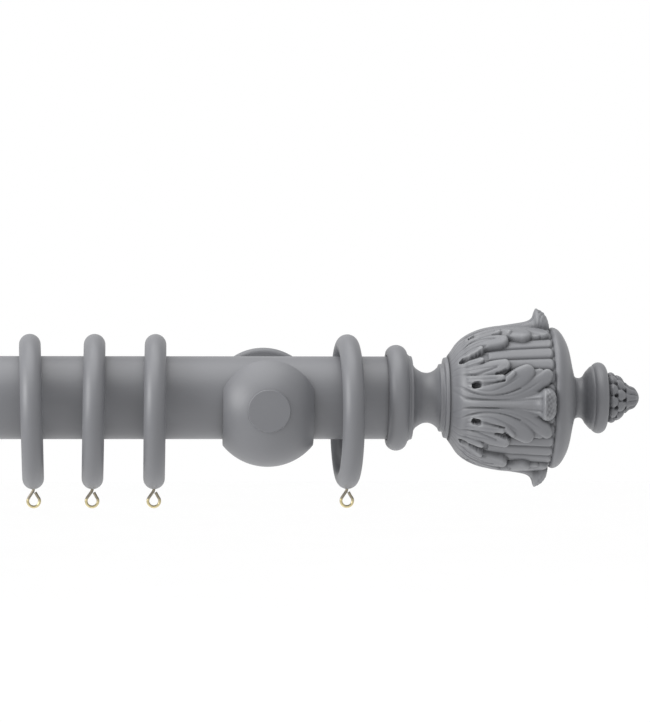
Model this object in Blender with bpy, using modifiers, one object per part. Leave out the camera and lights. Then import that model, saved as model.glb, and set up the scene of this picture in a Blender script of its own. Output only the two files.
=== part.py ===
"""Curtain rod with brackets: a painted wooden pole in two ball cup brackets, with rings and carved urn finials.

Run with: blender --background --python part.py

World frame, in metres: the wall is the plane y = 0 with the room on its -Y side, +Z is up, and the origin is on
the wall at the middle of the pole's length, level with the pole's axis.
"""

import math

import bmesh
import bpy
from mathutils import Matrix

# ---------------------------------------------------------------- driving dimensions
GAP = 0.0003  # between pieces that touch
CHAMFER = 0.0006
THREAD_RADIUS = 0.0040  # every hidden stud is an M8

POLE_RADIUS = 0.0254
POLE_LENGTH = 1.2000
POLE_TO_WALL = 0.0900  # pole axis to wall
INSERT_RADIUS = 0.0060
INSERT_LENGTH = 0.0180

BRACKET_X = 0.5170  # bracket centre from the pole's middle
BRACKET_DROP = 0.0065  # ball centre below the pole's axis
BRACKET_FORWARD = 0.0070  # ball centre in front of the pole's axis
BALL_RADIUS = 0.0355
BALL_HALF_WIDTH = 0.0275  # to each of the two flats that the pole passes through
BUTTON_RADIUS = 0.01275
BUTTON_RAISE = 0.0011
CHANNEL_RADIUS = POLE_RADIUS + 0.0004
NECK_RADIUS = 0.0130

# the next three are distances from the wall
ROSE_FRONT = 0.0165
ARM_FRONT = 0.0470
STUD_FRONT = 0.0590
ROSE_RADIUS = 0.0353
ROSE_SEAT_RADIUS = 0.0170
ROSE_RECESS_DEPTH = 0.0042
ARM_END_RADIUS = 0.0140
ARM_WAIST_RADIUS = 0.0100
PLATE_RADIUS = 0.0217
PLATE_THICKNESS = 0.0030
WALL_SCREW_SPREAD = 0.0140  # each wall screw above or below the plate's centre
WALL_SCREW_RADIUS = 0.0019
WALL_HEAD_RADIUS = 0.0040
WALL_SCREW_LENGTH = 0.0300  # beyond the wall's surface
LOCK_SCREW_RADIUS = 0.0020
LOCK_HEAD_RADIUS = 0.0038
LOCK_HEAD_DEPTH = 0.0026
LOCK_HEAD_SUNK = 0.0008  # below the ball's surface
LOCK_SOCKET_RADIUS = 0.0016

RING_TUBE_RADIUS = 0.0066
RING_CENTRE_RADIUS = 0.0409
# ring centre below the pole's axis, because it hangs on the pole
RING_DROP = RING_CENTRE_RADIUS - RING_TUBE_RADIUS - POLE_RADIUS - GAP
RING_BORE_DEPTH = 0.0090
EYE_WIRE_RADIUS = 0.0009
EYE_LOOP_RADIUS = 0.0036  # to the middle of the wire
EYE_DROP = 0.0548  # loop centre below the ring's centre
EYE_SHANK_LENGTH = 0.0080  # inside the ring

FINIAL_LAP = 0.0100  # length of pole end inside the finial's collar
COLLAR_CLEARANCE = 0.0007  # around the pole's end
FINIAL_STUD_LENGTH = 0.0380
SPIGOT_RADIUS = 0.0080
SPIGOT_LENGTH = 0.0075
LEAF_COUNT = 4
LEAF_TURN_DEG = 3.0

BALL_STEPS = 26
POLE_STEPS = 32
FINIAL_STEPS = 20
ROSE_STEPS = 24
ARM_STEPS = 16
SMALL_STEPS = 12
RING_STEPS = 24
RING_TUBE_STEPS = 8

# The rings near the right bracket: distance from it along the pole, turn about the vertical and lean along the
# pole, in degrees. The left end mirrors them.
RING_PLACES = (
    (-0.1441, 2.8, 1.4),
    (-0.1063, 1.6, -0.9),
    (-0.0689, 0.4, -0.6),
    (0.0490, 2.6, 0.0),
)

PAINT = (0.215, 0.222, 0.233, 1.0)
STEEL = (0.62, 0.62, 0.60, 1.0)
BRASS = (0.72, 0.52, 0.20, 1.0)


# ---------------------------------------------------------------- helpers
def clear_scene():
    for obj in list(bpy.data.objects):
        bpy.data.objects.remove(obj, do_unlink=True)


def make_collection(name):
    made = bpy.data.collections.new(name)
    bpy.context.scene.collection.children.link(made)
    return made


def make_material(name, colour, roughness, metallic):
    made = bpy.data.materials.new(name)
    made.use_nodes = True
    shader = made.node_tree.nodes["Principled BSDF"]
    shader.inputs["Base Color"].default_value = colour
    shader.inputs["Roughness"].default_value = roughness
    shader.inputs["Metallic"].default_value = metallic
    return made


def painted(name):
    return make_material(name, PAINT, 0.45, 0.0)


def steel(name):
    return make_material(name, STEEL, 0.35, 1.0)


def brass(name):
    return make_material(name, BRASS, 0.3, 1.0)


def radians(degrees):
    return [math.radians(a) for a in degrees]


def arc(centre, radii, start_deg, end_deg, steps):
    """Points (r, z) of an elliptical arc about centre; 0 degrees points outwards and 90 up."""
    angles = [math.radians(start_deg + (end_deg - start_deg) * i / steps) for i in range(steps + 1)]
    return [(centre[0] + radii[0] * math.cos(a), centre[1] + radii[1] * math.sin(a)) for a in angles]


def in_metres(points_mm):
    return [(r / 1000, z / 1000) for r, z in points_mm]


def add_object(name, mesh):
    obj = bpy.data.objects.new(name, mesh)
    bpy.context.scene.collection.objects.link(obj)
    return obj


def add_turned(name, profile, steps, closed=False):
    """A turned solid about its local Z, from a profile (r, z) that runs down its outer side."""
    mesh = bpy.data.meshes.new(name)
    edges = [(i, i + 1) for i in range(len(profile) - 1)]
    if closed:
        edges.append((len(profile) - 1, 0))
    mesh.from_pydata([(r, 0.0, z) for r, z in profile], edges, [])
    obj = add_object(name, mesh)
    screw = obj.modifiers.new("turning", "SCREW")
    screw.steps = steps
    screw.render_steps = steps
    screw.use_merge_vertices = True
    screw.merge_threshold = 0.00001
    return obj


def add_cylinder(name, radius, length, steps=SMALL_STEPS, location=(0, 0, 0), rotation_deg=(0, 0, 0)):
    """A cylinder along its local Z, centred on its location."""
    mesh = bpy.data.meshes.new(name)
    shape = bmesh.new()
    bmesh.ops.create_cone(shape, cap_ends=True, segments=steps, radius1=radius, radius2=radius, depth=length)
    shape.to_mesh(mesh)
    shape.free()
    obj = add_object(name, mesh)
    obj.location = location
    obj.rotation_euler = radians(rotation_deg)
    return obj


def finished_mesh(obj):
    """The object's evaluated mesh in world axes, welded and smoothed; the object itself is removed."""
    bpy.context.view_layer.update()
    graph = bpy.context.evaluated_depsgraph_get()
    mesh = bpy.data.meshes.new_from_object(obj.evaluated_get(graph))
    mesh.name = obj.name
    mesh.transform(obj.matrix_world)
    shape = bmesh.new()
    shape.from_mesh(mesh)
    bmesh.ops.remove_doubles(shape, verts=shape.verts, dist=0.000001)
    shape.to_mesh(mesh)
    shape.free()
    mesh.shade_smooth()
    mesh.set_sharp_from_angle(angle=math.radians(35))
    bpy.data.objects.remove(obj, do_unlink=True)
    return mesh


def combined(obj, others, operation):
    """The finished mesh of an object after a Boolean with each of the others, which are used up."""
    for other in others:
        step = obj.modifiers.new(other.name, "BOOLEAN")
        step.operation = operation
        step.object = other
        step.solver = "EXACT"
    mesh = finished_mesh(obj)
    for other in others:
        bpy.data.objects.remove(other, do_unlink=True)
    return mesh


def put(parts, name, mesh, material, parent=None, location=(0, 0, 0), rotation_deg=(0, 0, 0)):
    """A named piece that shows a mesh in its own material."""
    obj = bpy.data.objects.new(name, mesh)
    parts.objects.link(obj)
    obj.parent = parent
    obj.location = location
    obj.rotation_euler = radians(rotation_deg)
    if not mesh.materials:
        mesh.materials.append(None)
    obj.material_slots[0].link = "OBJECT"
    obj.material_slots[0].material = material
    return obj


def put_empty(parts, name, location, rotation_deg=(0, 0, 0)):
    empty = bpy.data.objects.new(name, None)
    parts.objects.link(empty)
    empty.location = location
    empty.rotation_euler = radians(rotation_deg)
    return empty


# ---------------------------------------------------------------- pole
def pole_mesh():
    """A rod along X with its edges taken off and a bore for a threaded insert in each end."""
    half = POLE_LENGTH / 2
    bore = INSERT_RADIUS + GAP
    bore_floor = half - INSERT_LENGTH - GAP
    upper = [
        (0, bore_floor),
        (bore, bore_floor),
        (bore, half),
        (POLE_RADIUS - CHAMFER, half),
        (POLE_RADIUS, half - CHAMFER),
    ]
    lower = [(r, -z) for r, z in reversed(upper)]
    rod = add_turned("pole", upper + lower, POLE_STEPS)
    rod.rotation_euler = radians((0, 90, 0))
    return finished_mesh(rod)


def insert_mesh():
    """A threaded sleeve along X, with its mouth at the origin."""
    bore = THREAD_RADIUS + GAP
    profile = [(bore, 0), (INSERT_RADIUS, 0), (INSERT_RADIUS, -INSERT_LENGTH), (bore, -INSERT_LENGTH)]
    sleeve = add_turned("insert", profile, SMALL_STEPS, closed=True)
    sleeve.rotation_euler = radians((0, 90, 0))
    return finished_mesh(sleeve)


def stud_mesh(length, rotation_deg):
    """A threaded rod from the origin up its own axis, its ends chamfered."""
    profile = [
        (0, length),
        (THREAD_RADIUS - CHAMFER, length),
        (THREAD_RADIUS, length - CHAMFER),
        (THREAD_RADIUS, CHAMFER),
        (THREAD_RADIUS - CHAMFER, 0),
        (0, 0),
    ]
    stud = add_turned("stud", profile, SMALL_STEPS)
    stud.rotation_euler = radians(rotation_deg)
    return finished_mesh(stud)


# ---------------------------------------------------------------- bracket
# Its pieces are turned about an axis that runs from the wall to the room, and their meshes keep world axes, so
# local Z of a profile becomes -Y.
TO_ROOM_DEG = (90, 0, 0)


def channel_cutter():
    """The U-shaped channel for the pole, round below and open above, placed about the ball's centre."""
    height = BALL_RADIUS + 0.02
    rounded = arc((0, 0), (CHANNEL_RADIUS, CHANNEL_RADIUS), -180, 0, 20)
    points = [(-CHANNEL_RADIUS, height), *rounded, (CHANNEL_RADIUS, height)]
    outline = bpy.data.curves.new("channel", "CURVE")
    outline.dimensions = "2D"
    outline.fill_mode = "BOTH"
    outline.extrude = BALL_RADIUS + 0.01
    spline = outline.splines.new("POLY")
    spline.points.add(len(points) - 1)
    for point, (x, y) in zip(spline.points, points, strict=True):
        point.co = (x, y, 0, 1)
    spline.use_cyclic_u = True
    curve = add_object("channel", outline)
    # the outline's x runs towards the wall, its y up and its thickness along the pole
    curve.rotation_euler = radians((90, 0, 90))
    curve.location = (0, BRACKET_FORWARD, BRACKET_DROP)
    return add_object("channel_cutter", finished_mesh(curve))


def side_cutter(way):
    """A block that takes off everything beyond one of the ball's flats."""
    mesh = bpy.data.meshes.new("side")
    shape = bmesh.new()
    bmesh.ops.create_cube(shape, size=2 * BALL_RADIUS)
    shape.to_mesh(mesh)
    shape.free()
    block = add_object("side_cutter", mesh)
    block.location = (way * (BALL_HALF_WIDTH + BALL_RADIUS), 0, 0)
    return block


def lock_head_top():
    """Height of the locking screw's head seat, from the ball's centre."""
    surface = -math.sqrt(BALL_RADIUS**2 - BRACKET_FORWARD**2)
    return surface + LOCK_HEAD_SUNK + LOCK_HEAD_DEPTH


def cup_mesh():
    """Ball, front button and back neck turned in one, with its sides sawn flat, the channel and the screw holes cut.

    Its origin is at the ball's centre.
    """
    button_floor = math.sqrt(BALL_RADIUS**2 - BUTTON_RADIUS**2)
    button_top = button_floor + BUTTON_RAISE
    edge = 0.0004
    neck_end = ARM_FRONT + GAP - POLE_TO_WALL - BRACKET_FORWARD
    front_deg = math.degrees(math.asin(button_floor / BALL_RADIUS))
    back_deg = -math.degrees(math.acos(NECK_RADIUS / BALL_RADIUS))
    profile = [(0, button_top), (BUTTON_RADIUS - edge, button_top), (BUTTON_RADIUS, button_top - edge)]
    profile += arc((0, 0), (BALL_RADIUS, BALL_RADIUS), front_deg, back_deg, 12)
    profile += [(NECK_RADIUS, neck_end + edge), (NECK_RADIUS - edge, neck_end), (0, neck_end)]
    blank = add_turned("cup", profile, BALL_STEPS)
    blank.rotation_euler = radians(TO_ROOM_DEG)
    stud_depth = STUD_FRONT + GAP - ARM_FRONT
    stud_bore = add_cylinder("stud_bore", THREAD_RADIUS + GAP, 2 * stud_depth, rotation_deg=TO_ROOM_DEG)
    stud_bore.location = (0, -neck_end, 0)
    screw_bore = add_cylinder("screw_bore", LOCK_SCREW_RADIUS + GAP, BALL_RADIUS)
    screw_bore.location = (0, BRACKET_FORWARD, -BALL_RADIUS)
    sink = add_cylinder("head_sink", LOCK_HEAD_RADIUS + GAP, 0.010)
    sink.location = (0, BRACKET_FORWARD, lock_head_top() - 0.005)
    sides = [side_cutter(way) for way in (-1, 1)]
    return combined(blank, [*sides, channel_cutter(), stud_bore, screw_bore, sink], "DIFFERENCE")


def arm_mesh():
    """A waisted spindle with a bore for the stud, its back end at the rose; origin on the wall."""
    back = ROSE_FRONT + GAP
    middle = (ARM_FRONT + back) / 2
    bore = THREAD_RADIUS + GAP
    bead = 0.0035
    waist = arc(
        (ARM_END_RADIUS, middle),
        (ARM_END_RADIUS - ARM_WAIST_RADIUS, (ARM_FRONT - back) / 2 - bead),
        90,
        270,
        6,
    )
    profile = [(bore, ARM_FRONT), (ARM_END_RADIUS - CHAMFER, ARM_FRONT), (ARM_END_RADIUS, ARM_FRONT - CHAMFER)]
    profile += waist
    profile += [(ARM_END_RADIUS, back + CHAMFER), (ARM_END_RADIUS - CHAMFER, back), (bore, back)]
    arm = add_turned("arm", profile, ARM_STEPS, closed=True)
    arm.rotation_euler = radians(TO_ROOM_DEG)
    return finished_mesh(arm)


def rose_mesh():
    """A turned disc with a rounded rim, a recess for the plate in its back and a bore for the stud."""
    bore = THREAD_RADIUS + GAP
    recess = PLATE_RADIUS + GAP
    rim = 0.0030
    profile = [(bore, ROSE_FRONT), (ROSE_SEAT_RADIUS - CHAMFER, ROSE_FRONT), (ROSE_SEAT_RADIUS, ROSE_FRONT - CHAMFER)]
    profile += arc((ROSE_RADIUS - 0.006, 0.0160), (0.0123, 0.0080), 180, 270, 6)
    profile += arc((ROSE_RADIUS - rim, 0.0050), (rim, 0.0030), 90, 0, 4)
    profile += [(ROSE_RADIUS, 0), (recess, 0), (recess, ROSE_RECESS_DEPTH), (bore, ROSE_RECESS_DEPTH)]
    rose = add_turned("rose", profile, ROSE_STEPS, closed=True)
    rose.rotation_euler = radians(TO_ROOM_DEG)
    return finished_mesh(rose)


def plate_mesh():
    """A steel disc against the wall with a threaded hole for the stud and two countersunk screw holes."""
    middle = PLATE_THICKNESS / 2
    disc = add_cylinder("plate", PLATE_RADIUS, PLATE_THICKNESS, FINIAL_STEPS, (0, -middle, 0), TO_ROOM_DEG)
    holes = [add_cylinder("stud_hole", THREAD_RADIUS + GAP, 0.02, rotation_deg=TO_ROOM_DEG)]
    for side in (-1, 1):
        place = (0, -PLATE_THICKNESS, side * WALL_SCREW_SPREAD)
        hole = add_turned("screw_hole", wall_screw_profile(GAP, 0.003), SMALL_STEPS)
        hole.rotation_euler = radians(TO_ROOM_DEG)
        hole.location = place
        holes.append(hole)
    return combined(disc, holes, "DIFFERENCE")


def wall_screw_profile(grow, above):
    """Outline of a countersunk screw with its head's face at 0, or of its hole if grown and carried on above."""
    head = WALL_HEAD_RADIUS + grow
    shank = WALL_SCREW_RADIUS + grow
    cone = WALL_HEAD_RADIUS - WALL_SCREW_RADIUS
    end = -PLATE_THICKNESS - WALL_SCREW_LENGTH
    return [(0, above), (head, above), (head, -0.0002), (shank, -cone - 0.0002), (shank, end + 0.006), (0, end)]


def wall_screw_mesh():
    """A countersunk wood screw with a cross-cut slot; origin at the middle of its head's face."""
    screw = add_turned("wall_screw", wall_screw_profile(0, 0), SMALL_STEPS)
    screw.rotation_euler = radians(TO_ROOM_DEG)
    slots = []
    for turn in (0, 90):
        slot = add_cylinder("slot", 0.0007, 0.0042, 4, (0, 0, 0), (0, turn, 0))
        slots.append(slot)
    return combined(screw, slots, "DIFFERENCE")


def lock_screw_mesh():
    """A cap screw that points up, with a hexagon socket below; origin at its head's upper face."""
    tip = BRACKET_DROP - POLE_RADIUS - 0.0004 - (lock_head_top() - GAP)
    profile = [
        (0, tip),
        (LOCK_SCREW_RADIUS - CHAMFER, tip),
        (LOCK_SCREW_RADIUS, tip - CHAMFER),
        (LOCK_SCREW_RADIUS, 0),
        (LOCK_HEAD_RADIUS, 0),
        (LOCK_HEAD_RADIUS, -LOCK_HEAD_DEPTH),
        (0, -LOCK_HEAD_DEPTH),
    ]
    screw = add_turned("lock_screw", profile, SMALL_STEPS)
    socket = add_cylinder("socket", LOCK_SOCKET_RADIUS, 0.0030, 6, (0, 0, -LOCK_HEAD_DEPTH))
    return combined(screw, [socket], "DIFFERENCE")


# ---------------------------------------------------------------- rings and eyes
def ring_mesh():
    """A wooden ring about X, with a bore for the screw eye in its underside; origin at its centre."""
    bpy.ops.mesh.primitive_torus_add(
        major_radius=RING_CENTRE_RADIUS,
        minor_radius=RING_TUBE_RADIUS,
        major_segments=RING_STEPS,
        minor_segments=RING_TUBE_STEPS,
        rotation=radians((0, 90, 0)),
    )
    ring = bpy.context.object
    ring.name = "ring"
    outside = RING_CENTRE_RADIUS + RING_TUBE_RADIUS
    bore = add_cylinder("eye_bore", EYE_WIRE_RADIUS + GAP, 2 * RING_BORE_DEPTH, 8, (0, 0, -outside))
    return combined(ring, [bore], "DIFFERENCE")


def eye_mesh():
    """A wire that comes down out of the ring, bends into a loop and closes on its own shank; origin at the loop."""
    top = EYE_DROP - RING_CENTRE_RADIUS - RING_TUBE_RADIUS + EYE_SHANK_LENGTH
    loop = arc((0, 0), (EYE_LOOP_RADIUS, EYE_LOOP_RADIUS), 48, -236, 15)
    points = [(0, top), (0, EYE_LOOP_RADIUS + 0.0022), (0.0008, EYE_LOOP_RADIUS + 0.0006), *loop]
    wire = bpy.data.curves.new("eye", "CURVE")
    wire.dimensions = "3D"
    wire.bevel_depth = EYE_WIRE_RADIUS
    wire.bevel_resolution = 1
    wire.use_fill_caps = True
    spline = wire.splines.new("POLY")
    spline.points.add(len(points) - 1)
    for point, (x, z) in zip(spline.points, points, strict=True):
        point.co = (x, 0, z, 1)
    return finished_mesh(add_object("eye", wire))


# ---------------------------------------------------------------- finial
# Its pieces are turned about X. Profiles are in millimetres from the collar's open face.
def finial_piece(name, profile_mm):
    piece = add_turned(name, in_metres(profile_mm), FINIAL_STEPS)
    piece.rotation_euler = radians((0, 90, 0))
    return piece


def finial_base_mesh():
    """The collar that laps over the pole's end, the hollow neck and the spigot that carries the urn."""
    spigot = SPIGOT_RADIUS * 1000
    socket = (POLE_RADIUS + COLLAR_CLEARANCE) * 1000
    socket_floor = (FINIAL_LAP + GAP) * 1000
    bore = (THREAD_RADIUS + GAP) * 1000
    seat = 37.4
    profile = [(0, seat + SPIGOT_LENGTH * 1000), (spigot, seat + SPIGOT_LENGTH * 1000), (spigot, seat)]
    profile += [(24.5, seat), (24.8, 36.9), (24.6, 35.3), (20.8, 34.6), (20.8, 32.6)]
    profile += [(18.6, 31.4), (16.7, 29.2), (15.4, 26.2), (15.4, 23.6), (16.6, 20.4), (18.8, 17.6), (21.4, 15.9)]
    profile += [(25.7, 15.3), (26.7, 13.3)]
    profile += arc((26.3, 6.0), (6.2, 6.6), 80, -65.4, 6)
    profile += [(socket, 0), (socket, socket_floor), (bore, socket_floor), (bore, 32.0), (0, 32.0)]
    return finished_mesh(finial_piece("finial_base", profile))


def leaf_mesh():
    """One carved leaf: cross-sections along its spine, each from an outer point to an inner one inside the urn.

    The sections lean over towards the tip, where the leaf curls away from the urn.
    """
    # outer (r, z), inner (r, z) in millimetres, and half the section's angle in degrees
    sections = (
        ((28.0, 40.5), (22.0, 42.0), 12),
        ((34.5, 44.5), (27.0, 46.0), 24),
        ((39.4, 50.4), (32.0, 51.5), 31),
        ((42.8, 59.2), (35.5, 60.0), 35),
        ((44.6, 70.1), (37.5, 70.5), 31),
        ((46.4, 81.1), (39.0, 81.5), 24),
        ((48.6, 88.0), (39.5, 88.0), 17),
        ((54.9, 91.6), (40.5, 93.0), 11),
        ((54.2, 94.6), (40.5, 95.5), 9),
        ((47.0, 98.9), (39.0, 98.4), 12),
    )
    across = (-1.0, -0.55, 0.0, 0.55, 1.0)
    fall = 0.42  # how far the leaf's edges fall from its rib towards the urn
    mesh = bpy.data.meshes.new("leaf")
    shape = bmesh.new()
    loops = []
    for outer, inner, half_deg in sections:
        loop = []
        for v in across:
            share = fall * v * v
            r = outer[0] + (inner[0] - outer[0]) * share
            z = outer[1] + (inner[1] - outer[1]) * share
            loop.append(leaf_vertex(shape, r, z, v * half_deg))
        loop += [leaf_vertex(shape, *inner, v * half_deg) for v in (0.9, 0.0, -0.9)]
        loops.append(loop)
    for one, two in zip(loops, loops[1:], strict=False):
        for i in range(len(one)):
            j = (i + 1) % len(one)
            shape.faces.new((one[i], one[j], two[j], two[i]))
    shape.faces.new(loops[0])
    shape.faces.new(loops[-1])
    bmesh.ops.recalc_face_normals(shape, faces=shape.faces)
    shape.to_mesh(mesh)
    shape.free()
    return mesh


def leaf_vertex(shape, r_mm, z_mm, angle_deg):
    angle = math.radians(angle_deg)
    return shape.verts.new((r_mm / 1000 * math.cos(angle), r_mm / 1000 * math.sin(angle), z_mm / 1000))


def urn_mesh():
    """The carved urn: a turned bell with leaves laid up its sides."""
    spigot_bore = (SPIGOT_RADIUS + GAP) * 1000
    floor = 99.6
    profile = [(0, floor - 8.0), (spigot_bore, floor - 8.0), (spigot_bore, floor)]
    profile += [(40.0, floor), (43.0, 99.0), (43.6, 97.5), (43.2, 91.0), (42.6, 81.0), (41.8, 70.0)]
    profile += [(39.8, 59.0), (36.4, 50.5), (31.5, 44.0), (25.2, 37.8)]
    profile += [(spigot_bore, 37.8), (spigot_bore, 45.3), (0, 45.3)]
    bell = finial_piece("urn", profile)
    leaf = leaf_mesh()
    leaves = []
    for i in range(LEAF_COUNT):
        laid = add_object("leaf", leaf.copy())
        turn = math.radians(LEAF_TURN_DEG + 360 * i / LEAF_COUNT)
        laid.data.transform(Matrix.Rotation(turn, 4, "Z"))
        laid.rotation_euler = radians((0, 90, 0))
        leaves.append(laid)
    bpy.data.meshes.remove(leaf)
    return combined(bell, leaves, "UNION")


def cap_mesh():
    """The dome over the urn with its neck, bead and pinecone bud, and a spigot that goes into the urn."""
    spigot = SPIGOT_RADIUS * 1000
    seat = 99.9
    profile = [(0, 156.5), (3.4, 156.0), (6.2, 153.4), (7.6, 149.6), (10.6, 147.0), (9.6, 145.4), (12.6, 143.0)]
    profile += [(11.8, 141.6), (14.7, 139.0), (14.9, 137.2), (15.4, 135.6)]
    profile += arc((17.3, 131.0), (4.6, 4.5), 70, -60, 5)
    profile += [(19.3, 125.6), (16.2, 123.2)]
    profile += arc((16.5, 119.4), (4.5, 3.8), 120, 240, 4)
    profile += [(14.4, 115.6), (23.0, 114.4), (33.5, 111.9), (40.8, 108.0), (43.6, 104.0), (43.4, 100.6)]
    profile += [(42.8, seat), (spigot, seat), (spigot, seat - 7.8), (0, seat - 7.8)]
    return finished_mesh(finial_piece("cap", profile))


# ---------------------------------------------------------------- assembly
def build_bracket(parts, side, x):
    """Everything that stays on the wall on one side, and the locking screw, about the bracket's axis."""
    axis = put_empty(parts, "bracket_" + side, (x, 0, -BRACKET_DROP))
    put(parts, "wall_plate_" + side, plate_mesh(), steel("plate_" + side), axis)
    screw = wall_screw_mesh()
    for place, way in (("upper", 1), ("lower", -1)):
        name = f"wall_screw_{place}_{side}"
        put(parts, name, screw, steel(name), axis, (0, GAP - PLATE_THICKNESS, way * WALL_SCREW_SPREAD))
    put(parts, "wall_rose_" + side, rose_mesh(), painted("rose_" + side), axis)
    put(parts, "bracket_arm_" + side, arm_mesh(), painted("arm_" + side), axis)
    stud = stud_mesh(STUD_FRONT - GAP, TO_ROOM_DEG)
    put(parts, "bracket_stud_" + side, stud, steel("stud_" + side), axis, (0, -GAP, 0))
    cup_at = (0, -POLE_TO_WALL - BRACKET_FORWARD, 0)
    put(parts, "bracket_cup_" + side, cup_mesh(), painted("cup_" + side), axis, cup_at)
    lock_at = (0, -POLE_TO_WALL, lock_head_top() - GAP)
    put(parts, "lock_screw_" + side, lock_screw_mesh(), steel("lock_" + side), axis, lock_at)


def build_pole(parts):
    axis = put_empty(parts, "pole_axis", (0, -POLE_TO_WALL, 0))
    put(parts, "pole", pole_mesh(), painted("pole"), axis)
    sleeve = insert_mesh()
    for side, way, turn in (("right", 1, 0), ("left", -1, 180)):
        mouth = (way * POLE_LENGTH / 2, 0, 0)
        put(parts, "threaded_insert_" + side, sleeve, brass("insert_" + side), axis, mouth, (0, 0, turn))


def build_finials(parts):
    """Each finial about the pole's axis, from its collar's open face."""
    base, urn, cap = finial_base_mesh(), urn_mesh(), cap_mesh()
    stud = stud_mesh(FINIAL_STUD_LENGTH, (0, 90, 0))
    stud_start = FINIAL_LAP - INSERT_LENGTH + GAP
    for side, way, turn in (("right", 1, 0), ("left", -1, 180)):
        face = (way * (POLE_LENGTH / 2 - FINIAL_LAP), -POLE_TO_WALL, 0)
        seat = put_empty(parts, "finial_" + side, face, (0, 0, turn))
        put(parts, "finial_base_" + side, base, painted("base_" + side), seat)
        put(parts, "finial_urn_" + side, urn, painted("urn_" + side), seat)
        put(parts, "finial_cap_" + side, cap, painted("cap_" + side), seat)
        put(parts, "finial_stud_" + side, stud, steel("dowel_" + side), seat, (stud_start, 0, 0))


def build_rings(parts):
    """The rings, numbered from the pole's left end to its right, each with its screw eye."""
    right = [(BRACKET_X + offset, turn, lean) for offset, turn, lean in RING_PLACES]
    left = [(-x, -turn, -lean) for x, turn, lean in reversed(right)]
    ring, eye = ring_mesh(), eye_mesh()
    for number, (x, turn, lean) in enumerate(left + right, 1):
        hang = put_empty(parts, f"ring_place_{number}", (x, -POLE_TO_WALL, -RING_DROP), (0, -lean, turn))
        put(parts, f"ring_{number}", ring, painted(f"ring_{number}"), hang)
        put(parts, f"screw_eye_{number}", eye, brass(f"eye_{number}"), hang, (0, 0, -EYE_DROP))


def main():
    clear_scene()
    parts = make_collection("curtain_rod_with_brackets")
    build_pole(parts)
    for side, way in (("right", 1), ("left", -1)):
        build_bracket(parts, side, way * BRACKET_X)
    build_finials(parts)
    build_rings(parts)


main()
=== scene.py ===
"""Looks of the curtain rod with brackets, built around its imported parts.

The pole lies along X, the wall is the plane y = 0 with the room on its -Y side, and +Z is up. Turned pieces are
drawn as profiles of (radius, height) in millimetres that run down their outer side.
"""

import logging
import math
from collections.abc import Sequence
from dataclasses import dataclass, field
from enum import Enum

import bmesh
import bpy
import numpy as np
from mathutils import Matrix, Vector


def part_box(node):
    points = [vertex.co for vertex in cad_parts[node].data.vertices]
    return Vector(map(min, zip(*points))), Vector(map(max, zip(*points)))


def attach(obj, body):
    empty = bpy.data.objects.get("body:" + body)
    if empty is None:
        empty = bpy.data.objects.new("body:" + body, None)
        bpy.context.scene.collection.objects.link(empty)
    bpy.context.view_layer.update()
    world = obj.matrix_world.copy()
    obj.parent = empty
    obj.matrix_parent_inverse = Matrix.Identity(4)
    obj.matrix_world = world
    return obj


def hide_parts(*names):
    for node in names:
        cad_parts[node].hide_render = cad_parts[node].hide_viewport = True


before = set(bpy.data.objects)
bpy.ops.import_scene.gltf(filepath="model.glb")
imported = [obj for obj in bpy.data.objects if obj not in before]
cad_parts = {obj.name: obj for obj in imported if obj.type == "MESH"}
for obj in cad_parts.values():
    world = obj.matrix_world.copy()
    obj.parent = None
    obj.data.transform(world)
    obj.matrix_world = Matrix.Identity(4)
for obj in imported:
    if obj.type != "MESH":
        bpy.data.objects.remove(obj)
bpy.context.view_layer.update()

MM = 0.001
BARE = -9.0  # a height in millimetres far below the surface, where a carved part does not reach
log = logging.getLogger("curtain_rod")

Profile = list[tuple[float, float]]
Colour = tuple[float, float, float]


class Side(Enum):
    """An end of the rod, with the direction in which it points along X."""

    RIGHT = ("right", 1)
    LEFT = ("left", -1)

    @property
    def word(self) -> str:
        """The side's name in node and body names."""
        return self.value[0]

    @property
    def way(self) -> int:
        """+1 on the right and -1 on the left."""
        return self.value[1]


class Lie(Enum):
    """Where a turned piece's own axis points once it is in place."""

    ALONG_POLE = (90, "Y")
    TO_ROOM = (90, "X")
    UPRIGHT = (0, "Z")

    def matrix(self) -> Matrix:
        """The turn from the lathe's upright axis."""
        return Matrix.Rotation(math.radians(self.value[0]), 4, self.value[1])


# ---------------------------------------------------------------- shapes
def arc(
    centre: tuple[float, float],
    radii: tuple[float, float],
    start: float,
    end: float,
    steps: int = 18,
) -> Profile:
    """Points of an elliptical arc in a profile.

    Args:
        centre: its middle, as radius and height.
        radii: its half sizes across and up.
        start: the first angle in degrees, 0 outwards and 90 up.
        end: the last angle in degrees.
        steps: how many pieces the arc is cut into.

    Returns:
        The points, in order.
    """
    angles = np.radians(np.linspace(start, end, steps + 1))
    return [(centre[0] + radii[0] * math.cos(a), centre[1] + radii[1] * math.sin(a)) for a in angles]


def eased(profile: Profile, reach: float, steps: int = 4, least_turn: float = 18.0) -> Profile:
    """A profile with its corners rounded over, as sanding and paint leave them.

    Args:
        profile: the points.
        reach: how far the rounding reaches from a corner along each side.
        steps: how many pieces each rounding is cut into.
        least_turn: corners that turn less than this many degrees stay as they are.

    Returns:
        The new points.
    """
    made = [profile[0]]
    for before, corner, after in zip(profile, profile[1:], profile[2:], strict=False):
        back = Vector(before) - Vector(corner)
        on = Vector(after) - Vector(corner)
        if back.length < 1e-6 or on.length < 1e-6 or 180 - math.degrees(back.angle(on)) < least_turn:
            made.append(corner)
            continue
        first = Vector(corner) + back.normalized() * min(reach, back.length * 0.45)
        last = Vector(corner) + on.normalized() * min(reach, on.length * 0.45)
        for i in range(steps + 1):
            t = i / steps
            point = first * (1 - t) ** 2 + Vector(corner) * 2 * t * (1 - t) + last * t**2
            made.append((point.x, point.y))
    return [*made, profile[-1]]


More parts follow.
